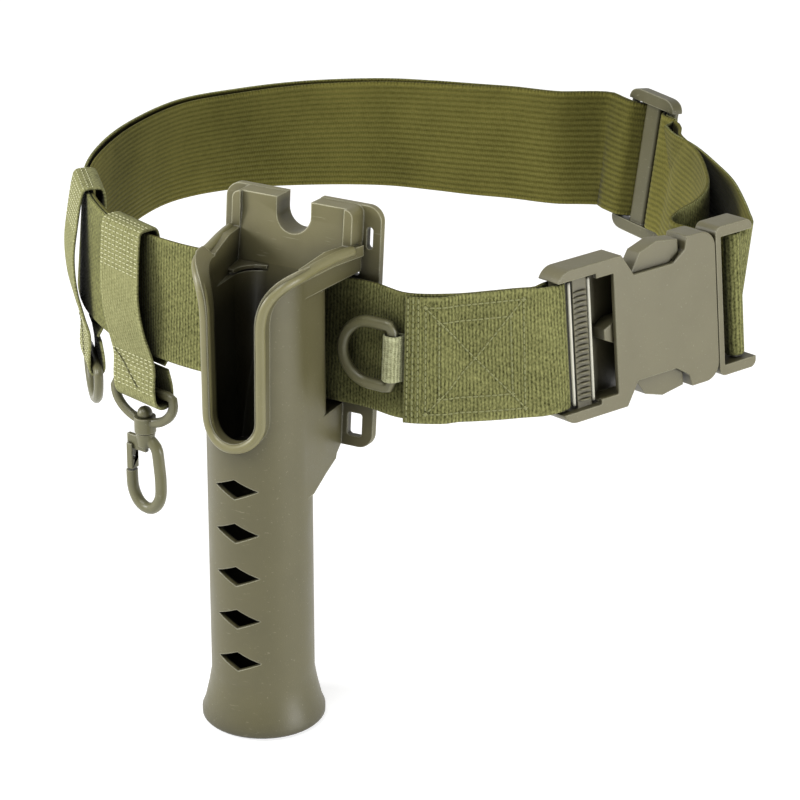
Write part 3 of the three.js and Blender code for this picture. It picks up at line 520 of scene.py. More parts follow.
def woven_nylon(name, dark, light, width_mm, rib_mm, pick_mm, crosswise, ribs, picks, speckle,
                wander=5.0, crease_shade=0.0):
    """Nylon webbing: matte yarn bundles with dark gaps between them and a faint sheen.

    Crosswise ribs run over the band's width, lengthwise ones along it, and picks cross them.
    Specks are single yarns that catch the light, drawn coarser than real ones so that they
    show. The selvedge is paler and looped. Wander makes the ribs uneven, and painted crease
    shade darkens the band in soft bands across it.
    """
    material, tree, shader = new_material(name, Roughness=0.9, Sheen_Weight=0.04,
                                          Sheen_Roughness=0.5, Specular_IOR_Level=0.1)
    weave = add(tree, "ShaderNodeUVMap", {"uv_map": "weave"})
    length, width, _ = add(tree, "ShaderNodeSeparateXYZ", None, (weave,)).node.outputs
    rib_axis, pick_axis = (length, width) if crosswise else (width, length)
    stray = add(tree, NOISE, None, {"Vector": weave, "Scale": 120, "Detail": 2})
    stray = add(tree, MATH, MINUS, (stray, 0.5))
    rib = wave(tree, rib_axis, rib_mm, add(tree, MATH, TIMES, (stray, wander)))
    # Neighbouring ribs are woven half a pick apart
    along_ribs = add(tree, MATH, {"operation": "DIVIDE"}, (rib_axis, rib_mm * MM))
    odd = add(tree, MATH, {"operation": "FLOOR"}, (along_ribs,))
    pick = wave(tree, pick_axis, pick_mm, add(tree, MATH, TIMES, (odd, math.pi)))
    yarns = add(tree, MAPPING, None, {
        "Vector": weave, "Scale": (1.5, 0.6, 1) if crosswise else (0.55, 1.5, 1)})
    specks = add(tree, NOISE, None, {
        "Vector": yarns, "Scale": 820, "Detail": 3, "Roughness": 0.75})
    patches = add(tree, NOISE, None, {
        "Vector": weave, "Scale": 42, "Detail": 4, "Roughness": 0.6})
    # Painted shade: soft dark bands across the band, like the shade in its creases
    right_over = add(tree, MAPPING, None, {"Vector": weave, "Scale": (1, 0.12, 1)})
    shade_bands = add(tree, NOISE, None, {"Vector": right_over, "Scale": 17, "Detail": 1})
    sideways = add(tree, MATH, MINUS, (width, width_mm * MM / 2))
    sideways = add(tree, MATH, {"operation": "ABSOLUTE"}, (sideways,))
    selvedge = add(tree, RANGE, SMOOTH, {
        "Value": sideways, "From Min": (width_mm / 2 - 2.0) * MM,
        "From Max": (width_mm / 2 - 1.0) * MM})
    loops = add(tree, MATH, TIMES, (selvedge, wave(tree, length, 1.5)))
    tone = 0.5
    for pattern, middle, share in ((rib, 0.5, ribs), (pick, 0.5, picks),
                                   (specks, 0.5, 2.4 * speckle), (patches, 0.5, 0.55),
                                   (shade_bands, 0.55, crease_shade), (loops, 0, 0.25)):
        swing = add(tree, MATH, MINUS, (pattern, middle))
        tone = add(tree, MATH, TIMES_PLUS, (swing, share, tone))
    tone = add(tree, "ShaderNodeClamp", None, (tone,))
    yarn = add(tree, MIX, PAINTS, {"Factor": tone, 6: paint(dark), 7: paint(light)}, 2)
    # Painted shade darkens the yarn in recesses
    tree.links.new(with_painted_shade(tree, yarn, 18, 0.15), shader.inputs["Base Color"])
    height = add(tree, MATH, TIMES, (pick, 0.3))
    for pattern, share in ((rib, 0.5), (specks, 0.7), (loops, 0.5)):
        height = add(tree, MATH, TIMES_PLUS, (pattern, share, height))
    relief = add(tree, "ShaderNodeBump", None,
                 {"Height": height, "Distance": 0.3 * MM, "Strength": 0.9})
    tree.links.new(relief, shader.inputs["Normal"])
    return material


def holder_painted_shade_and_light(tree, place, colour):
    """Painted shade and light on the holder's colour: its bore and cup are painted darker the
    deeper they go, as shade, and its shoulders and the tops of its walls are painted paler, as top
    light."""
    x, y, z = add(tree, "ShaderNodeSeparateXYZ", None, (place,)).node.outputs
    behind = add(tree, MATH, PLUS, (y, HOLDER["forward"] * MM))

    def within(depth):
        squares = [add(tree, MATH, POWER, (side, 2)) for side in (x, depth)]
        reach = add(tree, MATH, {"operation": "SQRT"}, (add(tree, MATH, PLUS, squares),))
        return add(tree, RANGE, SMOOTH, {
            "Value": reach, "From Min": (HOLDER["bore"] + 0.9) * MM,
            "From Max": (HOLDER["bore"] + 0.2) * MM})

    # Painted shade: darker inside the bore and the cup
    hollow = within(add(tree, MATH, {"operation": "MINIMUM"}, (behind, 0)))
    for test, value, limit in (("LESS_THAN", behind, HOLDER["cup_depth"]),
                               ("GREATER_THAN", z, HOLDER["cup_floor"])):
        side = add(tree, MATH, {"operation": test}, (value, limit * MM))
        hollow = add(tree, MATH, TIMES, (hollow, side))
    inside = add(tree, MATH, LARGER, (hollow, within(behind)))
    deep = add(tree, RANGE, SMOOTH, {"Value": z, "From Min": 34 * MM, "From Max": 12 * MM})
    kept = add(tree, MATH, TIMES_PLUS, (add(tree, MATH, TIMES, (inside, deep)), -0.82, 1.0))
    # Painted light: paler towards the top
    painted_top_light = add(tree, RANGE, SMOOTH, {
        "Value": z, "From Min": 30 * MM, "From Max": 43 * MM, "To Min": 1.0, "To Max": 1.6})
    kept = add(tree, MATH, TIMES, (kept, painted_top_light))
    return add(tree, VECTORS, SCALED, {0: colour, "Scale": kept})


def moulded_nylon(name, dark, light, roughness=0.42, scuff_and_highlight="#a9a68c", tones=None):
    """Injection moulded nylon: satin skin with a fine spark grain, faintly cloudy in colour.

    Its edges are soft and painted paler as a highlight, and thin scuffs cross the skin where it is
    handled.
    """
    grain_mm, soft_edge_mm = 0.45, 0.9
    material, tree, shader = new_material(name, IOR=1.5, Specular_IOR_Level=0.5)
    place = add(tree, "ShaderNodeTexCoord", output="Object")
    clouds = add(tree, NOISE, None, {
        "Vector": place, "Scale": 60, "Detail": 5, "Roughness": 0.6})
    grain = add(tree, NOISE, None, {
        "Vector": place, "Scale": 1 / (grain_mm * MM), "Detail": 2, "Roughness": 0.6})
    skin = add(tree, MIX, PAINTS, {"Factor": clouds, 6: paint(dark), 7: paint(light)}, 2)
    # An edge is where the softened surface and the plain one face different ways
    soft = add(tree, "ShaderNodeBevel", {"samples": 6}, {"Radius": soft_edge_mm * MM})
    plain = add(tree, "ShaderNodeNewGeometry", output="Normal")
    alike = add(tree, VECTORS, {"operation": "DOT_PRODUCT"}, (soft, plain), "Value")
    edge = add(tree, RANGE, SMOOTH, {"Value": alike, "From Min": 0.985, "From Max": 0.86})
    # Edges are painted paler as a highlight, more on some than others with the clouds
    edge_highlight = add(tree, MATH, TIMES, (edge, add(tree, MATH, TIMES_PLUS, (clouds, 0.9, 0.3))))
    drawn_out = add(tree, MAPPING, None, {
        "Vector": place, "Rotation": (0.5, 0.3, 0.8), "Scale": (1, 14, 14)})
    scratches = add(tree, NOISE, None, {"Vector": drawn_out, "Scale": 90, "Detail": 3})
    scuff = add(tree, RANGE, None, {
        "Value": scratches, "From Min": 0.66, "From Max": 0.74, "To Max": 0.25})
    # The pale colour serves both the scuffs, which are wear, and the painted edge highlight
    scuff_and_highlight_share = add(tree, MATH, LARGER, (edge_highlight, scuff))
    # Painted shade then darkens the colour in recesses
    colour = with_painted_shade(tree, add(tree, MIX, PAINTS,
                                {"Factor": scuff_and_highlight_share, 6: skin, 7: paint(scuff_and_highlight)}, 2))
    # Painted shade and light, where a piece is given them
    if tones:
        colour = tones(tree, place, colour)
    tree.links.new(colour, shader.inputs["Base Color"])
    satin = add(tree, RANGE, None, {
        "Value": clouds, "From Min": 0.3, "From Max": 0.7,
        "To Min": roughness - 0.06, "To Max": roughness + 0.08})
    tree.links.new(satin, shader.inputs["Roughness"])
    grained = add(tree, "ShaderNodeBump", None,
                  {"Height": grain, "Distance": 0.05 * MM, "Normal": soft})
    tree.links.new(grained, shader.inputs["Normal"])
    return material


def sewing_thread(name, dark, light):
    """Bonded polyester thread: pale, a little shiny, with its twist too fine to show."""
    material, tree, shader = new_material(name, Roughness=0.55, Sheen_Weight=0.1,
                                          Specular_IOR_Level=0.4)
    place = add(tree, "ShaderNodeTexCoord", output="Object")
    tones = add(tree, NOISE, None, {"Vector": place, "Scale": 700, "Detail": 1})
    fibre = add(tree, MIX, PAINTS, {"Factor": tones, 6: paint(dark), 7: paint(light)}, 2)
    tree.links.new(fibre, shader.inputs["Base Color"])
    return material


strap_outside = woven_nylon("woven_nylon_strap_outside", "#313216", "#96965f", STRAP_WIDTH,
                            1.4, 1.6, True, ribs=0.36, picks=0.14, speckle=0.8)
strap_inside = woven_nylon("woven_nylon_strap_inside", "#413f17", "#7a753a", STRAP_WIDTH,
                           RIB_PITCH, 1.1, False, ribs=0.36, picks=0.1, speckle=0.35,
                           wander=1.2, crease_shade=0.9)
loop_webbing = woven_nylon("woven_nylon_hanger", "#605f38", "#a5a574", HANGER_WIDTH, 1.5, 1.3,
                           False, ribs=0.15, picks=0.15, speckle=0.7)
tab_webbing = woven_nylon("woven_nylon_ring_tab", "#6a6b48", "#c4c59c", TAB_WIDTH, 1.3, 0.9,
                          True, ribs=0.3, picks=0.15, speckle=0.8)
holder_nylon = moulded_nylon("moulded_nylon_holder", "#545034", "#625d3f", tones=holder_painted_shade_and_light)
# The lip is the holder's nylon painted paler: painted light on the rim band, which faces the light
lip_nylon_painted_light = moulded_nylon("moulded_nylon_lip_painted_light", "#726d47", "#817c57", roughness=0.34)
buckle_nylon = moulded_nylon("moulded_nylon_buckle", "#605b40", "#6d684c", roughness=0.4)
# The slider's nylon is painted darker than the buckle's: painted shade for the shadow it sits in
slider_nylon_painted_shade = moulded_nylon("moulded_nylon_slider_painted_shade", "#4d4a30", "#5a563b", roughness=0.4)
# Pale nylon whose colour is a painted highlight, for the ladder frame's two edge rods
edge_highlight_nylon = moulded_nylon("moulded_nylon_painted_edge_highlight", "#c4c2ae", "#d8d6c4", roughness=0.2,
                               scuff_and_highlight="#e4e2d2")
hardware_nylon = moulded_nylon("moulded_nylon_hardware", "#626043", "#737051", roughness=0.36)
pale_thread = sewing_thread("bonded_thread_pale", "#b4b488", "#d8d7ae")
olive_thread = sewing_thread("bonded_thread_olive", "#74754a", "#92935f")
dark_thread = sewing_thread("bonded_thread_dark", "#4c4c2c", "#626138")

# Straps

strap = woven_band("webbing_strap", STRAP_RUN, STRAP_WIDTH, STRAP_THICKNESS,
                   [strap_inside, strap_outside])
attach(strap, "root")
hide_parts("belt_strap")


def tab_stations():
    wrap = RING_WIRE + CLEARANCE + TAB_THICKNESS / 2
    seat = FOLD_LENGTH + TAB_GAP
    rise = STRAP_THICKNESS / 2 + CLEARANCE + wrap + TAB_THICKNESS / 2
    ring_stand = loop_stand(seat)
    ring_stand.origin = ring_stand.place(0, rise)
    tuck, last = FOLD_LENGTH - TAB_DEPTH + 2, FOLD_LENGTH + 2 * CLEARANCE
    inner = STRAP_THICKNESS / 2 + CLEARANCE + TAB_THICKNESS / 2
    outer = inner + TAB_THICKNESS + CLEARANCE
    steps = [tuck + (last - tuck) * i / 8 for i in range(9)]
    lower = [station(loop_stand(d), 0, inner) for d in steps]
    upper = [station(loop_stand(d), 0, outer) for d in steps[::-1]]
    reach = math.hypot(seat - last, rise - outer)
    leave = 180 + math.degrees(math.atan2(rise - outer, seat - last) - math.acos(wrap / reach))
    bend = arc(ring_stand, 0, wrap, -90, leave, 20)
    return lower + bend + upper


tab_run = tab_stations()
tab = woven_band("webbing_ring_tab", tab_run, TAB_WIDTH, TAB_THICKNESS,
                 [tab_webbing, tab_webbing], rib_pitch=1.3, rib_height=0, edge=0.9)
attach(tab, "root")
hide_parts("ring_tab")


def hanger_stations(hanger):
    bar = HANGER_BAR + CLEARANCE + HANGER_THICKNESS / 2 + hanger["ease"]
    eye, neck = hanger["eye"], hanger["eye"] + HANGER_NECK
    stand = loop_stand(distance_at_turn(hanger["turn"]))
    over = STRAP_WIDTH / 2 + CLEARANCE + HANGER_THICKNESS / 2 + 0.8
    inside = -(STRAP_THICKNESS / 2 + CLEARANCE + HANGER_THICKNESS / 2 + HANGER_EASE)
    outside = STRAP_THICKNESS / 2 + PLY_STEP + CLEARANCE + HANGER_THICKNESS / 2 + 1.2
    bow = hanger["bow"]
    path = [
        (-bar * 0.4, neck + 0.6), (inside * 0.97, -STRAP_WIDTH / 2 - 0.8),
        (inside, -12), (inside, 8), (inside, over - 2.5),
        (inside + 0.9, over - 0.5), ((inside + outside) / 2, over),
        (outside - 0.9, over - 0.5), (outside, over - 2.8),
        (outside + bow * 0.6, 12), (outside + bow, 0),
        (outside + bow * 0.7, -13), (outside * 0.9, -24),
        (bar * 0.75, neck + 1), (bar, eye + 4),
    ]
    for i in range(9):
        angle = math.pi * i / 8
        path.append((bar * math.cos(angle), eye - bar * math.sin(angle)))
    path += [(-bar, eye + 4), (-bar * 0.75, neck - 1.6)]
    smooth = SmoothPath([Vector((out, rise, 0)) for out, rise in path], 400)
    found = []
    steps = int(smooth.length / 1.2)
    for i in range(steps + 1):
        out, rise, _ = smooth.at(i / steps)
        tip = -math.tan(math.radians(stand.lean)) * clamp(rise, -over, over)
        shift = -rise * math.tan(math.radians(hanger["slant"]))
        turned = Matrix.Rotation(
            math.radians(hanger["twist"]) * ease(-rise, 0, -neck), 3, "Z")
        flat = Vector((-stand.run.y, stand.run.x, 0))
        found.append({
            "at": along(stand.origin, (stand.run, -shift), (turned @ flat, out + tip),
                        (UP, rise)),
            "across": turned @ stand.run, "ribbed": 0})
    return found


hanger_runs = {}
for letter, hanger in HANGERS.items():
    run = hanger_stations(hanger)
    hanger_runs[letter] = run
    piece = woven_band(f"webbing_hanger_{letter}", run, HANGER_WIDTH, HANGER_THICKNESS,
                       [loop_webbing, loop_webbing], rib_pitch=1.5, rib_height=0, edge=1.2)
    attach(piece, "root")
    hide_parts(f"hanger_{letter}")

# What repeats: beads of thread along seams and ribs across the buckle's ladder bar


def repeat_along():
    """A node group that sets long beads along every line of a mesh, a spacing apart."""
    tree = bpy.data.node_groups.new("beads along lines", "GeometryNodeTree")
    sockets = tree.interface
    sockets.new_socket("Lines", in_out="INPUT", socket_type="NodeSocketGeometry")
    for label in ("Spacing", "Bead Length", "Bead Width", "Bead Height"):
        socket = sockets.new_socket(label, in_out="INPUT", socket_type="NodeSocketFloat")
        socket.default_value = MM
    sockets.new_socket("Side", in_out="INPUT", socket_type="NodeSocketVector")
    sockets.new_socket("Material", in_out="INPUT", socket_type="NodeSocketMaterial")
    sockets.new_socket("Beads", in_out="OUTPUT", socket_type="NodeSocketGeometry")
    given = add(tree, "NodeGroupInput").node.outputs
    curve = add(tree, "GeometryNodeMeshToCurve", None, (given["Lines"],))
    points = add(tree, "GeometryNodeCurveToPoints", {"mode": "LENGTH"},
                 {"Curve": curve, "Length": given["Spacing"]})
    lengthwise = add(tree, "FunctionNodeAlignRotationToVector", {"axis": "Z"},
                     {"Vector": points.node.outputs["Tangent"]})
    upright = add(tree, "FunctionNodeAlignRotationToVector", {"axis": "X", "pivot_axis": "Z"},
                  {"Rotation": lengthwise, "Vector": given["Side"]})
    size = add(tree, "ShaderNodeCombineXYZ", None,
               (given["Bead Width"], given["Bead Height"], given["Bead Length"]))
    ball = add(tree, "GeometryNodeMeshUVSphere", None,
               {"Segments": 8, "Rings": 6, "Radius": 0.5})
    placed = add(tree, "GeometryNodeInstanceOnPoints", None, {
        "Points": points, "Instance": ball, "Rotation": upright, "Scale": size})
    real = add(tree, "GeometryNodeRealizeInstances", None, (placed,))
    smooth = add(tree, "GeometryNodeSetShadeSmooth", None, (real,))
    painted = add(tree, "GeometryNodeSetMaterial", None, {
        "Geometry": smooth, "Material": given["Material"]})
    add(tree, "NodeGroupOutput", None, (painted,))
    return tree


BEADS = repeat_along()


def settle(piece):
    """The piece keeps what its modifiers make as a plain mesh, and they are removed."""
    evaluated = piece.evaluated_get(bpy.context.evaluated_depsgraph_get())
    finished = bpy.data.meshes.new_from_object(evaluated)
    piece.modifiers.clear()
    piece.data = finished
    finished.name = piece.name


def beads(name, lines, spacing, length, width, height, material, slot, side=(0, 0, 1)):
    """Beads along polylines given in millimetres, as one finished piece on the root body."""
    verts, edges = [], []
    for line in lines:
        edges += [(len(verts) + i, len(verts) + i + 1) for i in range(len(line) - 1)]
        verts += [point * MM for point in line]
    mesh = bpy.data.meshes.new(name)
    mesh.from_pydata(verts, edges, [])
    piece = linked(name, mesh)
    repeat = piece.modifiers.new("beads", "NODES")
    repeat.node_group = BEADS
    values = {"Spacing": spacing * MM, "Bead Length": length * MM, "Bead Width": width * MM,
              "Bead Height": height * MM, "Side": side, "Material": material}
    for item in BEADS.interface.items_tree:
        if item.in_out == "INPUT" and item.name in values:
            repeat[item.identifier] = values[item.name]
    settle(piece)
    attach(piece, "root")


def on_band(rows, distance, across, lift):
    """A point above a band's skin, by its distance along and across the band."""
    i = 0
    while i < len(rows) - 2 and rows[i + 1]["distance"] < distance:
        i += 1
    here, after = rows[i], rows[i + 1]
    w = (distance - here["distance"]) / max(after["distance"] - here["distance"], 1e-6)
    at = here["at"].lerp(after["at"], w)
    sideways = here["across"].lerp(after["across"], w)
    face = here["face"].lerp(after["face"], w)
    return along(at, (sideways, across), (face, lift))


def seam(rows, start, end, lift):
    """A line of sewing between two (distance, across) places on a band."""
    steps = max(2, round(math.dist(start, end) / 1.5))
    return [on_band(rows, start[0] + (end[0] - start[0]) * i / steps,
                    start[1] + (end[1] - start[1]) * i / steps, lift) for i in range(steps + 1)]


def box_of_seams(rows, lift, near, far, half, crossed=True):
    corners = [(near, -half), (near, half), (far, half), (far, -half)]
    found = [seam(rows, a, b, lift) for a, b in zip(corners, corners[1:] + corners[:1])]
    if crossed:
        found += [seam(rows, corners[0], corners[2], lift),
                  seam(rows, corners[1], corners[3], lift)]
    return found


# The sewn fold: a boxed cross, with a second box inside it, and rows at the folded end
FOLD_STITCH = {"spacing": 2.3, "length": 2.0, "width": 0.7, "height": 0.7,
               "material": olive_thread, "slot": "strap_webbing"}
CROSSED_BOX = {"near": 8, "far": 46, "half": 21}
INNER_BOX = {"near": 13, "far": 41, "half": 15, "crossed": False}
END_ROWS = {"at": (1.2, 3.2, 5.2), "half": 23.5}
TAIL_ROWS = {"at": (3, 6), "half": 23}
fold_rows = band_frames(STRAP_RUN)
fold_skin = STRAP_THICKNESS / 2 + SKIN
fold_seams = box_of_seams(fold_rows, fold_skin, **CROSSED_BOX)
fold_seams += box_of_seams(fold_rows, fold_skin, **INNER_BOX)
fold_seams += [seam(fold_rows, (s, -END_ROWS["half"]), (s, END_ROWS["half"]), fold_skin)
               for s in END_ROWS["at"]]
beads("thread_fold", fold_seams, **FOLD_STITCH)
tail_length = fold_rows[-1]["distance"]
tail_seams = [seam(fold_rows, (tail_length - s, -TAIL_ROWS["half"]),
                   (tail_length - s, TAIL_ROWS["half"]), fold_skin) for s in TAIL_ROWS["at"]]
beads("thread_tail", tail_seams, **FOLD_STITCH)

# Hanger loops: close rows of pale thread at the top and above the hardware, and a loose end
ROW_PITCH = 1.75
TOP_ROWS = 13
ROW_STITCH = {"spacing": 2.4, "length": 1.7, "width": 0.45, "height": 0.45,
              "material": pale_thread, "slot": "hanger_webbing"}
LOOSE_STITCH = {"spacing": 1.6, "length": 1.9, "width": 0.4, "height": 0.4,
                "material": dark_thread, "slot": "hanger_webbing"}
for letter, run in hanger_runs.items():
    rows = band_frames(run)
    top = max(range(len(rows)), key=lambda i: rows[i]["at"].z)
    half = HANGER_WIDTH / 2 - 1.4
    outer = next(row for row in rows[top:] if row["at"].z < 0)
    outwards = 1 if outer["face"].dot(Vector((*outer["at"].xy, 0))) > 0 else -1
    skin = outwards * (HANGER_THICKNESS / 2 + SKIN)
    crest = rows[top]["distance"]
    eye, neck = HANGERS[letter]["eye"], HANGERS[letter]["eye"] + HANGER_NECK
    fold = next(row["distance"] for row in rows[top:] if row["at"].z < neck + 4)
    low = next(row["distance"] for row in rows[top:] if row["at"].z < eye + 2)
    low_rows = int((low - fold) / ROW_PITCH) + 1
    places = [crest - 1 + ROW_PITCH * i for i in range(TOP_ROWS)]
    places += [fold + ROW_PITCH * i for i in range(low_rows)]
    beads(f"thread_hanger_{letter}", [seam(rows, (s, -half), (s, half), skin) for s in places],
          **ROW_STITCH)
    beads(f"thread_slant_{letter}",
          [seam(rows, (fold + 1, half * 0.9), (low - 2, -half * 0.2), skin * 1.35)],
          **LOOSE_STITCH)

# Ladder bar of the buckle: a rib at every pitch of its height
LADDER = {"from": 6.1, "to": 13, "face": 3.0, "half": 23, "pitch": 2.05, "rib": 1.15,
          "rib_height": 2.6, "gap": 0.3}
ladder_middle = (LADDER["from"] + LADDER["to"]) / 2
ladder_line = [buckle.place(ladder_middle, LADDER["face"], -LADDER["half"]),
               buckle.place(ladder_middle, LADDER["face"], LADDER["half"] - 3)]
beads("ladder_ribs", [ladder_line], LADDER["pitch"], LADDER["rib"],
      LADDER["to"] - LADDER["from"] - LADDER["gap"], LADDER["rib_height"], buckle_nylon,
      "moulded_plastic", side=tuple(buckle.run))

# Moulded pieces: the frame's own solids with their edges rounded as a mould leaves them


def prism(name, outline, low, high):
    """A closed upright prism over a plan outline, as a mesh in millimetres turned to metres."""
    count = len(outline)
    verts = [Vector((x, y, z)) * MM for z in (low, high) for x, y in outline]
    faces = [(k, (k + 1) % count, count + (k + 1) % count, count + k) for k in range(count)]
    faces += [tuple(range(count))[::-1], tuple(range(count, 2 * count))]
    mesh = bpy.data.meshes.new(name)
    mesh.from_pydata(verts, [], faces)
    turn_outwards(mesh)
    return linked(name, mesh)


def rim_wedge():
    """What is cut off the walls' front ends, so that the rim runs on smoothly into them."""
    side_view, half = [(38.0, -0.5), (40.0, 16), (60, 16), (60, -0.5)], 32
    wedge = prism("rim wedge", side_view, -half, half)
    # Its outline is in height and depth: it is turned so that it lies across the holder
    wedge.data.transform(Matrix(((0, 0, 1, 0), (0, 1, 0, -HOLDER["forward"] * MM), (1, 0, 0, 0),
                                 (0, 0, 0, 1))))
    turn_outwards(wedge.data)
    return wedge


def round_shading(mesh):
    """Normals of the tube, the lip and the bore are those of true cylinders."""
    found = [corner.vector.copy() for corner in mesh.corner_normals]
    radii = (HOLDER["tube"], HOLDER["bore"], HOLDER["tube"] + HOLDER["lip_proud"])
    axis = Vector((0, -HOLDER["forward"] * MM, 0))
    near_enough = 0.12
    for face in mesh.polygons:
        outs = [((mesh.vertices[v].co - axis) * Vector((1, 1, 0))) for v in face.vertices]
        for radius in radii:
            if all(abs(out.length / MM - radius) < near_enough for out in outs):
                sign = -1 if radius == HOLDER["bore"] else 1
                for corner, out in zip(face.loop_indices, outs):
                    found[corner] = out.normalized() * sign
    mesh.normals_split_custom_set(found)


def moulded_copy(name, node, body, material, edge_mm, angle=32, segments=2, cutter=None):
    """The node's solid, merged and flattened to whole faces, with rounded edges."""
    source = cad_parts[node]
    mesh = source.data.copy()
    mesh.name = name
    mesh.transform(source.matrix_world)
    work = bmesh.new()
    work.from_mesh(mesh)
    bmesh.ops.remove_doubles(work, verts=work.verts, dist=1e-6)
    bmesh.ops.dissolve_limit(work, angle_limit=math.radians(1.2), verts=work.verts,
                             edges=work.edges)
    work.to_mesh(mesh)
    work.free()
    mesh.materials.clear()
    mesh.materials.append(material)
    mesh.polygons.foreach_set("use_smooth", [True] * len(mesh.polygons))
    piece = linked(name, mesh)
    if cutter:
        cut = piece.modifiers.new("cut", "BOOLEAN")
        cut.object = cutter
        cut.solver = "EXACT"
    rounding = piece.modifiers.new("rounded edges", "BEVEL")
    rounding.width = edge_mm * MM
    rounding.segments = segments
    rounding.limit_method = "ANGLE"
    rounding.angle_limit = math.radians(angle)
    weighted = piece.modifiers.new("flat faces stay flat", "WEIGHTED_NORMAL")
    weighted.weight = 70
    weighted.keep_sharp = True
    settle(piece)
    if cutter:
        bpy.data.objects.remove(cutter)
        round_shading(piece.data)
    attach(piece, body)
    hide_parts(node)


moulded_copy("moulded_rod_holder", "rod_holder", "root", holder_nylon, 0.5,
             cutter=rim_wedge())
# Corner webs: their half widths, and how far they stand before and above the strap's channel
WEB = {"arc": 9.4, "middle_half": 8, "rear_half": 21.2, "front_half": 19.9, "depth": 1.6,
       "before_channel": 2.4, "low": -1.1, "high": 0.4}


def corner_web(hand):
    """A web that closes the corner between the round cup and the flared walls above it."""
    rear = HOLDER["channel"] - WEB["before_channel"] - HOLDER["forward"]
    front = rear - HOLDER["corner"]
    turns = [math.radians(90 * i / 6) for i in range(7)]
    plan = [(hand * (HOLDER["bore"] - HOLDER["corner"] + WEB["arc"] * math.cos(turn)),
             front + WEB["arc"] * math.sin(turn)) for turn in turns]
    plan += [(hand * WEB["middle_half"], rear + WEB["depth"]),
             (hand * WEB["rear_half"], rear + WEB["depth"]), (hand * WEB["front_half"], front)]
    web = prism(f"moulded_corner_web_{'left' if hand < 0 else 'right'}", plan,
                HOLDER["half_strap"] + WEB["low"], HOLDER["half_strap"] + WEB["high"])
    web.data.materials.append(holder_nylon)
    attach(web, "root")


corner_web(-1)
corner_web(1)
moulded_copy("moulded_buckle_socket", "buckle_socket", "root",
             buckle_nylon, 0.6)
moulded_copy("moulded_buckle_plug", "buckle_plug", "root", buckle_nylon, 0.6)
moulded_copy("moulded_slider", "slider", "root", slider_nylon_painted_shade, 0.4)
moulded_copy("moulded_belt_ring", "belt_ring", "strap_ring",
             hardware_nylon, 0.1, 60)
moulded_copy("moulded_drop_ring", "drop_ring", "hanging_ring",
             hardware_nylon, 0.1, 60)
moulded_copy("moulded_hook_eye", "hook_eye", "eye", hardware_nylon, 0.2, 60)
moulded_copy("moulded_hook", "hook_body", "hook", hardware_nylon, 0.2, 60)
moulded_copy("moulded_hook_gate", "hook_gate", "gate", hardware_nylon, 0.8,
             segments=3)

# Rounded beads that are moulded on: the holder's rolled lip and the ladder frame's two edges


def rod_along(name, points, radius, material, sides=10):
    """A round rod through points, closed at both ends."""
    path = SmoothPath(points)
    steps = max(8, round(path.length / 1.2))
    verts, faces = [], []
    side = path.tangent(0).orthogonal().normalized()
    for i in range(steps + 1):
        direction = path.tangent(i / steps)
        side = (side - direction * side.dot(direction)).normalized()
        other = direction.cross(side)
        centre = path.at(i / steps)
        for k in range(sides):
            angle = 2 * math.pi * k / sides
            verts.append(along(centre, (side, radius * math.cos(angle)),
                               (other, radius * math.sin(angle))) * MM)
    for i in range(steps):
        for k in range(sides):
            m = (k + 1) % sides
            faces.append((i * sides + k, i * sides + m, (i + 1) * sides + m, (i + 1) * sides + k))
    faces += [tuple(range(sides))[::-1], tuple(steps * sides + k for k in range(sides))]
    mesh = bpy.data.meshes.new(name)
    mesh.from_pydata(verts, [], faces)
    mesh.polygons.foreach_set("use_smooth", [True] * len(faces))
    mesh.materials.append(material)
    turn_outwards(mesh)
    piece = linked(name, mesh)
    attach(piece, "root")


def lip_side(hand):
    """Half of the lip's middle line, from the bottom of the front cut up and back to the plate."""
    half = HOLDER["cut_half"] + HOLDER["lip_width"] / 2
    rim = HOLDER["top"] - HOLDER["lip_width"] / 2
    wall = HOLDER["tube"] + HOLDER["lip_proud"] * 0.75
    bend = HOLDER["cut_bottom"] + HOLDER["cut_half"]
    front = [(half * math.sin(math.pi * i / 16), bend - half * math.cos(math.pi * i / 16))
             for i in range(9)]
    bow_from, bow_to = HOLDER["top"] - 22, HOLDER["top"] - 12
    front += [(half + 0.1, -8), (half + 0.3, 8), (half + 0.4, bow_from)]
    for i in range(1, 10):
        t = i / 9
        a, b, c, d = (1 - t) ** 3, 3 * t * (1 - t) ** 2, 3 * t * t * (1 - t), t ** 3
        front.append((half + a * 0.4 + b * 1 + c * 5.5 + d * 12,
                      a * bow_from + b * bow_to + c * (rim - 5) + d * (rim - 1.2)))
    points = []
    for x, z in front:
        back = (x - wall) / HOLDER["flare"] if x > wall else -math.sqrt(wall ** 2 - x ** 2)
        points.append((x, back, z - 0.3))
    points = [p for p in points if p[1] < 1]
    for back, z in ((5, 38.7), (10, 39.3), (16, 39.9), (22, 40.2), (27, 40.2)):
        points.append((wall - 0.4 + HOLDER["flare"] * back, back, z))
    return [Vector((hand * x, y - HOLDER["forward"], z - HOLDER["slope"] * y))
            for x, y, z in points]


LIP_RADIUS = 2.0
EDGE_RADIUS = 0.8
lip_line = lip_side(-1)[::-1] + lip_side(1)[1:]
rod_along("moulded_lip_bead", lip_line, LIP_RADIUS, lip_nylon_painted_light, 12)
# The ladder frame's edge rods are pale: a painted highlight along its edges
for label, run in (("outer", LADDER["from"] - 1.6), ("inner", LADDER["to"] + 0.9)):
    edge_line = [buckle.place(run, 2.6, rise) for rise in (-24.5, -8, 8, 24.5)]
    rod_along(f"moulded_ladder_edge_{label}", edge_line, EDGE_RADIUS, edge_highlight_nylon)

# Stage: pale floor, soft lights from both sides and above, and the photograph's camera

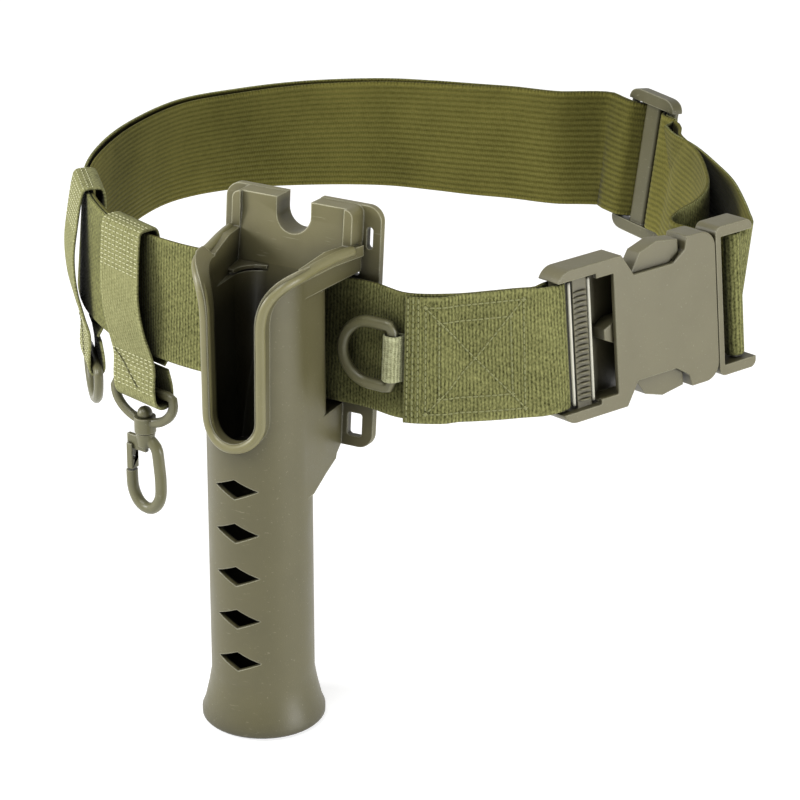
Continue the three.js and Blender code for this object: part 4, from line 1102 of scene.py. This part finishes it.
FLOOR = {"size": 12, "z": -151.5}
LOW_AIM, MIDDLE_AIM = (0, -0.05, 0), (0, 0, 0)
SOFTBOXES = {
    "left_softbox": {"place": (-1.25, -0.9, 0.6), "aim": LOW_AIM, "size": 0.5, "watts": 19},
    "right_softbox": {"place": (1.5, -0.2, 0.12), "aim": LOW_AIM, "size": 0.5, "watts": 14},
    "top_softbox": {"place": (-0.1, -0.8, 1.5), "aim": MIDDLE_AIM, "size": 0.7, "watts": 17},
}
ROOM_LIGHT, ROOM_IN_REFLECTIONS = 0.1, 0.6
CAMERA = {"lens": 163.6, "sensor": 36, "place": (0.61479, -1.22856, 0.53850),
          "turns": (66, 0, 27)}

bpy.ops.mesh.primitive_plane_add(size=FLOOR["size"], location=(0, 0, FLOOR["z"] * MM))
floor = bpy.context.object
floor.name = "floor"
pale_floor, _, _ = new_material("pale_floor", Roughness=0.9, Base_Color=paint("#bcbcbc"),
                                Specular_IOR_Level=0.0, Emission_Color=paint("#ffffff"),
                                Emission_Strength=0.8)
floor.data.materials.append(pale_floor)

for name, box in SOFTBOXES.items():
    lamp = bpy.data.lights.new(name, "AREA")
    lamp.size = box["size"]
    lamp.energy = box["watts"]
    stand = linked(name, lamp)
    stand.location = box["place"]
    towards = Vector(box["aim"]) - Vector(box["place"])
    stand.rotation_euler = towards.to_track_quat("-Z", "Y").to_euler()

world = bpy.data.worlds.new("studio")
bpy.context.scene.world = world
world.use_nodes = True
sky = world.node_tree.nodes["Background"]
sky.inputs["Color"].default_value = paint("#ffffff")
# The white room shows in reflections, and lights the belt itself only faintly
mirrored = add(world.node_tree, "ShaderNodeLightPath", output="Is Glossy Ray")
strength = add(world.node_tree, MATH, TIMES_PLUS, (mirrored, ROOM_IN_REFLECTIONS, ROOM_LIGHT))
world.node_tree.links.new(strength, sky.inputs["Strength"])

camera_data = bpy.data.cameras.new("camera")
camera_data.lens = CAMERA["lens"]
camera_data.sensor_width = CAMERA["sensor"]
camera = linked("camera", camera_data)
camera.location = CAMERA["place"]
camera.rotation_euler = [math.radians(turn) for turn in CAMERA["turns"]]
bpy.context.scene.camera = camera
bpy.context.scene.view_settings.view_transform = "Standard"
